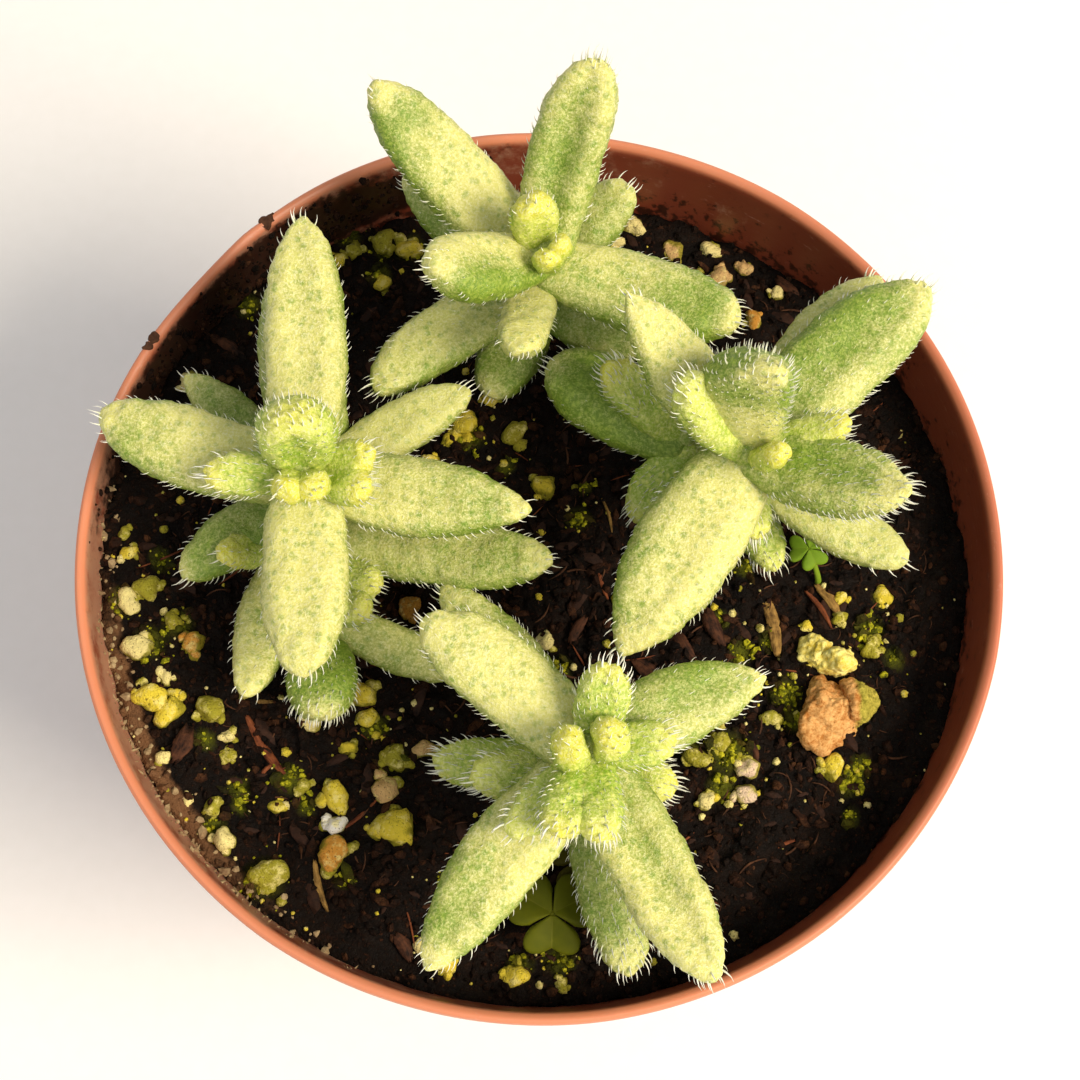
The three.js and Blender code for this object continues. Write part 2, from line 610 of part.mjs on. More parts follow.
function soil(stems) {
  const kept = [
    ...Object.values(PLANTLETS).map(({ foot }) => foot),
    ...STONES.flatMap(({ at: [x, y], size: [width] }) => [[x - width / 3, y], [x + width / 3, y]]),
    ...CLOVERS.map(({ foot }) => foot),
  ];
  const holes = stems.map(({ buried, from, radius }) => {
    const depth = from.z - buried.z + HOLE_ABOVE + GAP;
    const hole = new THREE.CylinderGeometry(radius + GAP, radius + GAP, depth, HOLE_SIDES);
    hole.rotateX(Math.PI / 2);
    hole.translate(buried.x, buried.y, buried.z - GAP + depth / 2);
    return solidOf(hole);
  });
  const pockets = STONES.map((stone) => stoneSolid(stone, GAP));
  const stalks = CLOVERS.map((clover) => cloverStalk(clover, GAP));
  const filled = soilBody().add(unite(grit(kept)));
  return mainBody(filled.subtract(unite([...holes, ...pockets, ...stalks])));
}

function cloverStalk({ foot: [x, y], head }, extra) {
  const ground = soilHeight(x, y);
  const points = [
    fromRim([x, y, ground - CLOVER_STALK_DEPTH]),
    fromRim([x, y, ground + CLOVER_STALK_UPRIGHT]),
    fromRim(head),
  ];
  const radius = CLOVER_STALK_RADIUS + extra;
  const rings = points.map((point) => ringOf(
    point, new THREE.Vector3(radius, 0, 0), new THREE.Vector3(0, radius, 0), CLOVER_STALK_SIDES));
  const start = points[0].clone().setZ(points[0].z - extra);
  const end = points[2].clone().setZ(points[2].z + radius / 2);
  return solidOf(loft(rings, start, end));
}

// One heart-shaped leaflet, its point near the origin and its notch away from it
function leaflet(length) {
  const half = [
    [0.25, 0.24], [0.6, 0.57], [0.9, 0.55], [1.03, 0.3],
  ];
  const heart = new THREE.Shape([
    [-0.1, 0],
    ...half.map(([x, y]) => [x, -y]),
    [0.9, 0],
    ...half.reverse(),
  ].map(([x, y]) => new THREE.Vector2(x * length, y * length)));
  return new THREE.ExtrudeGeometry(heart, { depth: CLOVER_THICKNESS, bevelEnabled: false });
}

function clover(plan) {
  const blades = [0, 1, 2].map((k) => {
    const blade = leaflet(plan.leaflet);
    blade.rotateY(CLOVER_DROOP);
    blade.rotateZ(THREE.MathUtils.degToRad(plan.turn + 120 * k));
    const head = fromRim(plan.head);
    blade.translate(head.x, head.y, head.z - CLOVER_THICKNESS / 2);
    return solidOf(blade);
  });
  return unite([cloverStalk(plan, 0), ...blades]);
}

const plant = new THREE.Group();

// Adds a solid to a group as a named mesh that stands at a place of its own
function addPiece(group, name, solid, material, at) {
  const geometry = geometryOf(solid);
  geometry.translate(-at.x, -at.y, -at.z);
  const mesh = new THREE.Mesh(geometry, material);
  mesh.name = name;
  mesh.position.copy(at);
  group.add(mesh);
}

const plantlets = Object.entries(PLANTLETS).map(([name, plan]) => {
  const stems = stemsOf(plan);
  return {
    name,
    stems,
    leaves: plan.leaves.map((row) => leafOn(stems, row)),
    young: plan.young.map((row) => leafOn(stems, row)),
  };
});

for (const { name, stems, leaves, young } of plantlets) {
  stems.forEach((stem) => crowdWithStem(stem, name));
  young.forEach((leaf) => crowdWithLeaf(leaf, name));
  leaves.forEach((leaf) => crowdWithLeaf(leaf, `${name} ${leaf.name}`));
}

// The room that the shoots and the leaves made so far take up, which the next leaf leaves free
let room = unite(plantlets.flatMap(({ stems, young }) => [
  ...stems.map((stem) => stemSolid(stem, GAP)),
  ...young.map((leaf) => leafSolid(leaf, YOUNG_STATIONS, YOUNG_SIDES, GAP)),
]));

const footCentre = new THREE.Vector3();
addPiece(plant, 'pot', pot(), MATERIALS.pot, footCentre);
addPiece(plant, 'soil', soil(plantlets.map(({ stems }) => stems[0])), MATERIALS.soil, footCentre);

for (const stone of STONES) {
  const [x, y] = stone.at;
  addPiece(plant, stone.name, stoneSolid(stone, 0), MATERIALS.stone, fromRim([x, y, soilHeight(x, y)]));
}
for (const plan of CLOVERS) {
  addPiece(plant, plan.name, clover(plan), MATERIALS.clover, fromRim(plan.head));
}

for (const { name, stems, leaves, young } of plantlets) {
  const group = new THREE.Group();
  group.name = `${name}_plantlet`;
  plant.add(group);
  const shoot = unite([
    ...stems.map((stem) => stemSolid(stem, 0)),
    ...young.map((leaf) => leafSolid(leaf, YOUNG_STATIONS, YOUNG_SIDES, 0)),
    ...young.flatMap((leaf) => bristlesOn(leaf, YOUNG_BRISTLES, name)),
  ]);
  addPiece(group, `${name}_shoot`, shoot, MATERIALS.shoot, stems[0].from);
  for (const leaf of leaves) {
    const whole = leafSolid(leaf, LEAF_STATIONS, LEAF_SIDES, 0);
    const blade = mainBody(whole.subtract(room));
    const bristles = bristlesOn(leaf, LEAF_BRISTLES, `${name} ${leaf.name}`);
    const shaded = leaf.name.startsWith('low');
    const material = shaded ? MATERIALS.shadedLeaf : MATERIALS.leaf;
    addPiece(group, `${name}_leaf_${leaf.name}`, unite([blade, ...bristles]), material, leaf.root);
    room = room.add(leafSolid(leaf, LEAF_STATIONS, LEAF_SIDES, GAP));
  }
}

export default plant;
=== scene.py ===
# Looks of a variegated pickle plant in a round nursery pot: four bristly plantlets in moist, gritty soil.
# Metres, +Z up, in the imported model's frame. The back is +Y, the right +X.
# Tables, sizes and shape formulas are in millimetres, and MM turns them to metres. Points of the plants
# and of the soil are given from the middle of the rim's plane, as [x, y, height].
import math

import bmesh
import bpy
import numpy as np
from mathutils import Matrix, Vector


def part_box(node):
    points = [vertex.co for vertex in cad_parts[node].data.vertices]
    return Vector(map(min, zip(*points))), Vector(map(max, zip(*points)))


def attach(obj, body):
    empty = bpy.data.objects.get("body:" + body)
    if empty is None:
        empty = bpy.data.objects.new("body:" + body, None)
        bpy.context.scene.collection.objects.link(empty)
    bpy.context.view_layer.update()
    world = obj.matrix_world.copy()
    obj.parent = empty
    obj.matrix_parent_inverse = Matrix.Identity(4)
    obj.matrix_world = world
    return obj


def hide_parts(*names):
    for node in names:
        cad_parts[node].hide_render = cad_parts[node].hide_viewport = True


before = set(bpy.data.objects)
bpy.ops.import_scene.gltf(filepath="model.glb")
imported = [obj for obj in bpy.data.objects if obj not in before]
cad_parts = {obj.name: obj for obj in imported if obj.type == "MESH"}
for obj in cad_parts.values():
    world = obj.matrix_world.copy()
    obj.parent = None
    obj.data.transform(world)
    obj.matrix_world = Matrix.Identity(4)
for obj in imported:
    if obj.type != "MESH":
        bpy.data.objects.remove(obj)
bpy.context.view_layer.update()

MM = 0.001
SMOOTH = {"interpolation_type": "SMOOTHSTEP"}

# Pot
POT_HEIGHT = 76
RIM_RADIUS = 45
LIP_WIDTH = 1.15
LIP_DROP = 1.2
BAND_HEIGHT = 13
BAND_INNER_RADIUS = 42.4
BAND_OUTER_RADIUS = 43.8
LEDGE_DROP = 1.2
LEDGE_STEP = 1.3
FOOT_RADIUS = 31.5
FOOT_EDGE = 0.8
WALL = 1.3
FLOOR = 1.6
POT_SIDES = 256
DRAIN_COUNT = 8
DRAIN_RADIUS = 23
DRAIN_LENGTH = 7
DRAIN_WIDTH = 4
DRAIN_SIDES = 24
# Waves round the soft rim as [height, how many, turn], and dents as [depth, where, half width], in radians
RIM_WAVES = [[0.12, 3, 0.6], [0.07, 7, 2]]
RIM_DENTS = [[0.35, 2.45, 0.16], [-0.25, 2.25, 0.1]]

# Soil
GAP = 0.3
SOIL_DROP = 8.5
SOIL_RISE_LEFT = 3.5
SOIL_FALL_BACK = 3
SOIL_MOUND = 0.45
SOIL_LUMP = 0.3
SOIL_SIDES = 288
SOIL_RINGS = 100
CRUST_TURN = 207
CRUST_REACH = 42
CLOD_TURN = 138
CLOD_REACH = 44
EDGE_CRUST_FROM = 40.6
EDGE_CRUST_FADE = 1.3
MIDDLE_REACH = 40
ALGAE_SPREAD = 2.8
ALGAE_LEAST = 0.2

# Plants
STEM_RADIUS = 1.9
BRANCH_RADIUS = 1.4
STEM_DEPTH = 10
STEM_SIDES = 28
STEM_RINGS = 24
STEM_KNOTS = 0.06
STEM_UPRIGHT = 1
LEAF_NECK = 0.76
LEAF_SHOULDER = 0.52
POINTED_SHOULDER = 0.38
LEAF_BLUNTNESS = 2.5
POINTED_BLUNTNESS = 2
LEAF_ROUNDNESS = 0.5
POINTED_ROUNDNESS = 0.85
LEAF_CROWN = 0.28
LEAF_BELLY = 0.42
YOUNG_CROWN = 0.36
YOUNG_POINT = 0.1
LEAF_SQUARENESS = 0.87
LEAF_SEAT = 0.6
LEAF_SAG = 0.04
CHANNEL_DEPTH = 0.17
CHANNEL_WIDTH = 0.4
SKIN_STEP = 0.3
YOUNG_SKIN_STEP = 0.25
BRISTLE_LENGTH = 0.92
BRISTLE_RADIUS = 0.095
BRISTLE_SPACING = 0.5
BRISTLE_DENSITY = 3.2e6

# Clover
CLOVER_THICKNESS = 0.3
CLOVER_STALK_RADIUS = 0.35
CLOVER_STALK_DEPTH = 4
CLOVER_STALK_UPRIGHT = 0.4
CLOVER_DROOP = 0.2
CLOVER_SPREAD = math.radians(57)
LEAFLET_ROWS = 18
LEAFLET_COLUMNS = 25
STALK_RINGS = 12
STALK_SIDES = 10
STALK_ARCH = 1.5

# View, and the studio in metres and watts
LENS = 62.06
SENSOR = 36
EYE = [0, -52.33, POT_HEIGHT + 172.2]
LOOKED_AT = [0.09, 0.5, POT_HEIGHT]
FLOOR_HALF = 3
KEY_LAMP = {"place": (0.5, -0.24, 0.68), "size": 0.36, "power": 8.6, "colour": "#fff1dc"}
FILL_LAMP = {"place": (-0.2, -0.7, 0.9), "size": 0.9, "power": 1.6, "colour": "#fbfaf6"}
SKY_STRENGTH = 0.5

# Relief of each kind of surface: how far apart its round bumps stand and how high they are, then how wide
# its broad lumps are and how high
RELIEF = {
    "leaf": [0.85, 0.2, 4, 0.85],
    "shoot": [0.66, 0.28, 2, 0.6],
    "soil_clods": [1.5, 0.7, 3.4, 1.7],
    "soil_crumbs": [0.7, 0.35, 1.1, 0.9],
    "grit": [0.6, 0.16, 1.1, 0.9],
    "pumice_lumps": [0.9, 0.3, 1.6, 1.1],
    "pumice_grain": [0.4, 0.12, 0.6, 0.5],
}

# What lies strewn: its piece, the surface under it, its shape, the value of the surface that says where it
# lies, how many lie on a square metre, their spacing, smallest and largest size, how flat they lie, their
# seed, the spread of their kinds, and their finish
STREWN = [
    ["soil_crumbs", "ground", "crumb", "room", 0.9e6, 0.55, 0.4, 1.7, 0.1, 11, 1, "soil"],
    ["soil_flakes", "ground", "shard", "middle", 0.35e6, 0.8, 0.6, 2.3, 0.75, 17, 1, "soil"],
    ["bark_chips", "ground", "shard", "middle", 0.05e6, 1.6, 0.9, 2.8, 0.9, 23, 0, "chip"],
    ["root_fibres", "ground", "fibre", "middle", 0.15e6, 0.6, 1, 3.6, 0.88, 37, 0, "fibre"],
    ["dry_needles", "ground", "needle", "middle", 0.012e6, 3, 2.5, 6, 0.93, 41, 0, "needle"],
    ["algae_grains", "ground", "grain", "algal", 0.26e6, 0.7, 0.25, 1.25, 0.4, 53, 0.42, "grit"],
    ["moss_tufts", "ground", "crumb", "moss", 8e6, 0.25, 0.25, 1.3, 0.1, 61, 0, "moss"],
    ["soil_edge_crust", "ground", "crumb", "crust", 1.6e6, 0.5, 0.4, 1.5, 0.5, 71, 0, "crust"],
    ["wall_crust", "wall", "shard", "crust", 2.4e6, 0.35, 0.2, 1.2, 0.4, 73, 0, "crust"],
    ["wall_clods", "wall", "crumb", "clods", 3e6, 0.5, 0.35, 1.5, 0.1, 79, 1, "soil"],
]

# Each plantlet: its main stem from the soil to its growing tip, its side branches, its leaves and its
# young leaves. A leaf's row says its name, the stem that carries it, how far up that stem, its tip, its
# width, how pointed it is, how far it bows to its left as a share of its length, how cream it is, how far
# the cream fades to green at its tip, how bristly it is, how deep the channel along its top is, and how
# much greener its left side is than its right: partly its own green margin, partly painted shade on the
# side turned away from the key lamp.
# A young leaf's row says its stem, how far up, its tip, its width, how cream, bristly and yellow it is,
# and how deep its channel is.
PLANTLETS = {
    "left": {
        "foot": [-21.5, 5.5],
        "top": [-21.2, 2.8, 15],
        "branches": [[[-21.5, 4.6, -2], [-20.4, -11, -0.5]]],
        "leaves": [
            ["north", 0, 0.86, [-22, 27.5, 15], 7.4, 0.3, 0, 0.85, 0.15, 0.3, 0.4, -0.15],
            ["south", 0, 0.86, [-20.7, -16, 13], 7.7, 0.4, 0, 0.92, 0, 0.35, 0.3, 0],
            ["west", 0, 0.77, [-40.5, 9.3, 11], 7.4, 0.2, 0.02, 0.9, 0.5, 0.45, 0.2, 0.15],
            ["east", 0, 0.77, [-0.8, -0.3, 12], 7.2, 0.8, 0, 0.72, 0.38, 0.5, 0.3, 0.1],
            ["low_east", 1, 0.2, [1.3, -2.8, 4], 6.4, 0.2, 0, 0.6, 0.2, 0.4, 0.1, 0],
            ["low_north", 0, 0.54, [-24.4, 26.8, 5.5], 8, 0.2, 0, 0.45, 0, 0.4, 0.1, 0],
            ["low_northeast", 0, 0.56, [-6.8, 13.5, 6.5], 5.3, 0.2, 0.045, 1, 0, 0.4, 0.3, 0],
            ["low_southwest", 0, 0.45, [-34, -3.5, 2], 5.7, 0.2, -0.05, 0.25, 0.1, 0.4, 0.1, 0.15],
            ["low_northwest", 0, 0.36, [-35, 17.7, 0], 5, 0.2, 0, 0.35, 0, 0.5, 0.1, 0],
            ["branch_southwest", 1, 0.05, [-27.6, -15, 1], 6, 0.5, -0.05, 0.65, 0, 0.7, 0.2, 0],
            ["branch_southeast", 1, 0.74, [-8, -12, -3], 4.6, 0.3, 0, 0.5, 0, 0.4, 0.1, 0],
            ["branch_end", 1, 0.9, [-20.4, -17.3, 3], 6.6, 0.3, 0, 0, 0, 1.5, 0, 0],
        ],
        "young": [
            [0, 0.97, [-21.4, 5.2, 21.5], 6.9, 0.42, 0.9, 0.45, 0.9],
            [0, 0.97, [-22.3, -0.2, 17.5], 3.2, 0.5, 0.9, 1, 0.3],
            [0, 0.97, [-19.8, -0.1, 17.5], 3.2, 0.5, 0.9, 1, 0.3],
            [0, 0.9, [-14.8, 3.6, 16.5], 3.6, 0.3, 0.8, 0.9, 0.3],
            [0, 0.9, [-15, 0.2, 16.5], 3.6, 0.3, 0.8, 0.9, 0.3],
            [0, 0.9, [-30, 2.3, 14.6], 3.8, 0.4, 0.8, 0.7, 0.3],
            [1, 0.12, [-30, -2.5, 5], 3.6, 0.5, 1, 0.8, 0.3],
            [1, 0.4, [-15.3, -4.6, 1.6], 3.8, 0.4, 1, 0.5, 0.3],
            [1, 0.6, [-16.4, -7.2, 2.4], 3.6, 0.4, 1, 0.5, 0.3],
        ],
    },
    "back": {
        "foot": [0, 27.5],
        "top": [0.4, 23.8, 16],
        "branches": [],
        "leaves": [
            ["northeast", 0, 0.86, [5.6, 38.7, 24], 6.9, 0, 0.045, 0.42, -0.3, 0.4, 1, 0.1],
            ["northwest", 0, 0.78, [-15.2, 38.5, 20], 7.1, 0.15, 0, 0.95, 0.7, 0.35, 0.4, 0.2],
            ["west", 0, 0.93, [-9.6, 19, 22], 6.6, 0, 0, 0.7, 0.1, 0.8, 0.2, 0.8],
            ["east", 0, 0.8, [18.8, 18.3, 12], 7.5, 0.1, 0.01, 0.62, 0.6, 0.5, 0.3, -0.15],
            ["south", 0, 0.72, [-2.1, 13.7, 15.5], 4.8, 0.1, 0, 0.95, -0.1, 0.8, 0.1, 0],
            ["low_northeast", 0, 0.64, [8.6, 32.3, 12], 5.4, 0, 0.03, 0.5, 0, 0.7, 0.1, 0],
            ["low_southwest", 0, 0.52, [-16, 14, 5], 6.2, 0.1, -0.075, 0.8, 0.1, 0.6, 0.1, 0.2],
            ["low_northwest", 0, 0.52, [-13.3, 36.6, 6], 5.6, 0.2, 0, 0.35, 0, 0.4, 0.1, 0],
            ["low_southeast", 0, 0.36, [11, 19.9, 1], 6, 0.2, 0, 0.35, 0, 0.4, 0.1, 0],
            ["lowest_southwest", 0, 0.3, [-5, 16, -1], 6, 0.2, 0, 0.2, 0, 0.4, 0.1, 0],
        ],
        "young": [
            [0, 0.97, [-0.5, 25.8, 21.3], 4.2, 0.4, 0.5, 1, 0.3],
            [0, 0.98, [2, 22.6, 19.6], 2.4, 0.4, 0.4, 1, 0.3],
            [0, 0.98, [0.9, 21.4, 19.2], 2.6, 0.4, 0.4, 1, 0.3],
        ],
    },
    "right": {
        "foot": [19.8, 8.4],
        "top": [18.9, 4.8, 15],
        "branches": [[[19.6, 7.8, 0], [13.4, 9.8, 4]]],
        "leaves": [
            ["erect", 0, 0.96, [19.9, 7.6, 26], 8, 0.4, 0.16, 0.85, 0.9, 1.9, 0, 0],
            ["northwest", 0, 0.9, [7.9, 16.8, 21], 6.4, 0.8, 0, 0.9, 0.1, 0.8, 0.2, 0.1],
            ["southeast", 0, 0.9, [32.1, -1.5, 20], 7, 0.6, 0, 0.34, -0.2, 1.8, 0.7, 0.1],
            ["northeast", 0, 0.84, [36, 20.6, 14.5], 8.4, 0.2, 0.035, 0.36, 0.15, 0.7, 0.3, 0.35],
            ["southwest", 0, 0.84, [7.2, -13.3, 10], 9.2, 0.8, -0.01, 0.9, 0.3, 0.65, 0.3, -0.4],
            ["low_northeast", 0, 0.68, [32.9, 24.4, 8], 6, 0.1, 0.06, 0.75, 0, 0.3, 0.1, 0],
            ["low_southeast", 0, 0.62, [34.2, -3.5, 6], 5.6, 0.2, 0, 0.9, 0, 0.7, 0.2, 0],
            ["branch_west", 1, 0.75, [1.1, 18, 2.5], 8, 0.1, 0, 0, 0, 0.4, 0.1, 0],
        ],
        "young": [
            [0, 0.98, [21, 2.4, 19.6], 2.8, 0.4, 0.6, 1, 0.3],
            [0, 0.97, [12.6, 8.1, 22], 5, 0.5, 1.4, 0, 0.3],
            [0, 0.88, [27.6, 6.2, 17], 3.4, 0.5, 1, 0.7, 0.3],
            [1, 0.9, [6.4, 15.4, 8.4], 4.4, 0.35, 1.3, 0.7, 0.3],
            [1, 0.8, [9.2, 2.6, 0], 4.8, 0.3, 1, 0.3, 0.3],
            [0, 0.66, [19.9, -1.8, 8], 3.6, 0.5, 0.9, 0.5, 0.3],
            [0, 0.4, [22.6, -2.8, 1], 3.8, 0.3, 0.8, 0.3, 0.3],
        ],
    },
    "front": {
        "foot": [4.8, -22],
        "top": [4.3, -23, 17],
        "branches": [],
        "leaves": [
            ["northwest", 0, 0.84, [-9.9, -11.5, 16], 7.2, 0.2, -0.03, 0.85, 0.15, 0.35, 0.1, -0.1],
            ["northeast", 0, 0.84, [19.9, -15.8, 12], 6.8, 0.75, 0.055, 0.42, 0.1, 0.8, 0.2, 0.2],
            ["southeast", 0, 0.8, [14.6, -42, 14], 6.9, 0.4, 0, 0.68, -0.3, 0.4, 0.8, 0.25],
            ["southwest", 0, 0.78, [-9.6, -40.6, 10], 7.1, 0.5, -0.035, 0.82, 0.6, 0.5, 0.3, -0.2],
            ["low_northwest", 0, 0.42, [-9.3, -4.4, 0.5], 5.8, 0.2, -0.04, 0.5, 0, 0.8, 0.1, 0],
            ["low_south", 0, 0.38, [8.2, -40.6, 0], 6.4, 0.2, 0, 0.32, 0, 1.3, 0.1, 0],
        ],
        "young": [
            [0, 0.98, [2.4, -23.4, 20.5], 3.8, 0.45, 0.7, 0.9, 0.3],
            [0, 0.98, [5.9, -22.6, 20.5], 3.8, 0.5, 0.7, 0.8, 0.3],
            [0, 0.95, [6, -16.4, 19], 4.4, 0.35, 1.1, 0.5, 0.3],
            [0, 0.93, [1.4, -30.6, 19], 4.2, 0.3, 1.1, 0.6, 0.3],
            [0, 0.93, [5.1, -30.9, 19], 4.2, 0.3, 1.1, 0.5, 0.3],
            [0, 0.9, [11.5, -22.2, 16.5], 3.8, 0.4, 1.1, 0.5, 0.3],
            [0, 0.62, [12, -25, 8.5], 4, 0.45, 1.1, 0.6, 0.3],
            [0, 0.88, [-2.7, -30.2, 15.5], 3.4, 0.45, 1.1, 0.3, 0.3],
            [0, 0.6, [-6, -24, 8], 4.6, 0.45, 1.2, 0.3, 0.3],
            [0, 0.4, [-9.8, -21.2, 1], 4.8, 0.25, 1.2, 0.1, 0.3],
        ],
    },
}

# The stones and grains that stand out in the soil, as [colour, x, y, width]
GRIT_COLOURS = ["cream", "yellow", "olive", "orange", "tan", "white", "pink"]
GRIT = [
    ["cream", -40.3, -4.5, 2.2], ["olive", -38.5, -3, 2.4], ["cream", -39.2, -9, 2.6],
    ["yellow", -38.6, -14, 3], ["yellow", -35.8, -15, 2.8], ["olive", -32, -15, 2.7],
    ["yellow", -17.2, -13.3, 2.9], ["yellow", -17, -15.6, 1.9], ["yellow", -19.4, -23.7, 2.9],
    ["white", -19.5, -26, 2], ["orange", -19.7, -28.8, 3.3], ["tan", -15, -22.5, 2.7],
    ["yellow", -14, -26.2, 3.6], ["olive", -14, -19.4, 2.6], ["yellow", -7.6, 15.4, 3.2],
    ["olive", -2.4, 14.6, 2.4], ["yellow", 0.5, 8.7, 2.7], ["cream", -38.3, 20.6, 2],
    ["cream", 10.4, 39.6, 2.5], ["cream", 8.2, 37.2, 2], ["tan", 14.2, 36, 2.2],
    ["cream", 18.4, 36.4, 2.2], ["tan", 19, 32.6, 2.5], ["tan", 22, 34.2, 1.6],
    ["orange", 22.8, 27.4, 1.9], ["yellow", -2.2, -40, 2.3], ["yellow", -8.6, -39.2, 1.9],
    ["pink", 20.4, -20.4, 2.2], ["pink", 20, -23, 2.1], ["cream", 16.2, -23.6, 1.9],
    ["cream", 14, -15.8, 1.7], ["yellow", 28.7, -20.2, 2.4], ["olive", 22.6, -15.4, 2],
    ["cream", -30, -27.4, 2.2], ["olive", -26, -31, 3], ["yellow", 34.6, -3, 1.9],
    ["olive", -31.4, -24.6, 1.8], ["yellow", -25.2, -24.3, 1.6], ["olive", -30.3, -19.4, 1.4],
    ["orange", -23.9, -7.4, 1.6], ["olive", -35.9, -6.3, 2], ["orange", -12.9, -4.3, 2.4],
    ["cream", 0.6, -7.4, 2], ["yellow", -5.1, 18.2, 1.6], ["olive", -21.2, 38.2, 2],
    ["olive", -16.9, 37.4, 2.4], ["yellow", -14.2, 36, 2.8], ["yellow", -21.4, 34.6, 1.8],
    ["olive", -25.3, 32.4, 1.4], ["yellow", -16.8, 32, 2], ["yellow", -11.2, 11.1, 1.8],
    ["yellow", -9.2, 13.4, 1.6], ["yellow", 30.2, -3.3, 1.4], ["olive", 30.1, -5.2, 1.5],
    ["yellow", 26.7, -6.4, 1.3], ["olive", 33.1, -8.5, 2], ["yellow", 33.5, 2.4, 1.2],
    ["cream", -30.3, -17.6, 1.6], ["tan", -11.2, -18.5, 2.2], ["olive", -22.8, -22.4, 1.6],
    ["yellow", -18.6, -18.5, 1.6], ["yellow", 8.1, -3.3, 1.2], ["olive", 15.7, -19.5, 2.4],
    ["olive", 17.7, -18, 2], ["cream", -37.6, -20.4, 1.5], ["cream", -34.9, -24.6, 1.3],
    ["yellow", -40.6, 0.6, 1.6], ["olive", -41.4, 2.8, 1.3], ["cream", -22.1, -16, 1.9],
    ["cream", -36.5, -11.6, 1.5], ["orange", -34, -8.3, 2.2], ["olive", -28.6, -13.5, 1.3],
    ["cream", -11.4, -37.4, 1.6], ["olive", 2, -41, 1.4], ["cream", 25.4, 31, 1.5],
]

# The two large stones: their lobes, each as its middle and half size in shares of the stone's own box
PUMICE = {
    "pumice_back": {
        "finish": "pumice_yellow", "seed": 21, "algae_from": 0.85, "centre": [0.1, -0.05, 0],
        "lobes": [[[0.2, -0.15, 0], [0.72, 0.8, 1]], [[-0.52, 0.35, -0.1], [0.5, 0.6, 0.8]],
                  [[0.68, -0.2, -0.35], [0.36, 0.6, 0.6]]]},
    "pumice_front": {
        "finish": "pumice_rust", "seed": 34, "algae_from": 0.3, "centre": [0.05, 0.1, -0.05],
        "lobes": [[[-0.34, 0, 0], [0.68, 1, 1.05]], [[0.48, 0.3, -0.15], [0.55, 0.68, 0.85]]]},
}
STONE_WEAR = 9
STONE_LEAST = 0.75
STONE_CUTS = 14
LOBE_CUTS = 9

# Patches of moss on the soil, as [x, y, radius]
MOSS = [
    [32.9, -6.5, 1.2], [24.3, -13, 1.2], [25.3, -15.6, 0.9], [18.4, -18.8, 1.6], [17.6, -22.3, 1],
    [20.1, -8.5, 1], [30.3, -21.8, 1], [31.3, -20, 0.9], [-38.3, -8.4, 1.3], [-35.4, -6.4, 1.1],
    [-37.6, 0, 0.8], [-26.2, -31.2, 1.5], [-29, -22.6, 0.9], [-28.8, -24.4, 0.6], [-24.1, -21.7, 1.1],
    [-31.3, -26.3, 1], [-7.1, 13.8, 1], [-8.7, 16.3, 0.9], [4, 5.3, 1], [4.7, 8.7, 0.7],
    [-20.4, 37.4, 1], [-16.6, 36.4, 1], [-13.7, 36.4, 1.2], [-17, 33, 1], [-30.6, 28.8, 1],
    [18.1, -5.4, 0.7], [23.1, -7.3, 0.9], [-3.5, 10.9, 0.8], [2.1, -10.3, 1], [18.9, -13.4, 0.9],
    [14.8, -17.9, 0.7], [1.9, -38.6, 1.1], [-8.6, -31.1, 0.9], [-14.1, -19.6, 1], [-16.1, -16.5, 1],
    [-41, -4.2, 1], [-32.4, -17.9, 0.8], [35.1, -9.6, 0.8], [30.2, -25.3, 0.7], [34.3, -3.2, 0.7],
    [20.7, -0.3, 0.8], [-22.5, -24.3, 0.7], [-18.7, -31.1, 0.7], [-1.9, -39.1, 0.9],
]

# Slivers of bark and wood that lie on the soil, as [finish, x and y of both ends, width, thickness]
SLIVERS = [
    ["light_wood", 22.5, -2.7, 23.6, -9.2, 1.5, 0.7], ["bark", 16.5, -4, 18.1, -7.9, 1.8, 1],
    ["bark", 13.6, -6.5, 15.2, -9.5, 1.5, 0.8], ["needle", 26.8, -2.4, 29.1, -6.4, 0.6, 0.5],
    ["light_wood", 27.9, -1.6, 29.9, -4.9, 1.2, 0.5], ["needle", -28.4, -15.6, -24.6, -21.2, 0.9, 0.8],
    ["needle", -26.9, -21.3, -25.8, -20.2, 0.5, 0.5], ["light_wood", -21.4, -29.5, -20.2, -34.1, 0.7, 0.6],
    ["needle", -19.2, -26.7, -15.6, -23.5, 0.4, 0.4], ["bark", -33.9, -16.9, -35.1, -19.9, 2, 0.9],
    ["bark", -13.7, -36.3, -12.3, -38.6, 1.5, 0.8], ["bark", 4.6, -5.2, 3.1, -7.8, 1.2, 0.8],
    ["needle", 6, 0, 6.9, -3.2, 0.5, 0.4], ["light_wood", 6.4, 7.4, 7.4, 3.7, 0.35, 0.3],
    ["light_wood", -28.2, -14.4, -25.9, -14.1, 0.5, 0.4], ["bark", 20.5, -17.5, 21.3, -19.7, 0.9, 0.6],
    ["bark", 9.5, -9.5, 11.8, -12.4, 1.7, 0.8], ["needle", 24.6, -27.4, 20.8, -29.2, 0.5, 0.4],
    ["bark", -33.5, 24.6, -31.2, 22.8, 1.4, 0.8], ["bark", 25.5, 33, 27.6, 30.6, 1.3, 0.7],
]
SLIVER_SIDES = 12
SLIVER_RINGS = 18
SLIVER_BEND = 0.05
SLIVER_CLEAR = 0.45

# Dried mud that sticks to the lip, as [turn round the pot in degrees, width]
MUD = [[129, 1.3], [127.8, 0.8], [150.5, 1.1], [151.8, 0.7]]

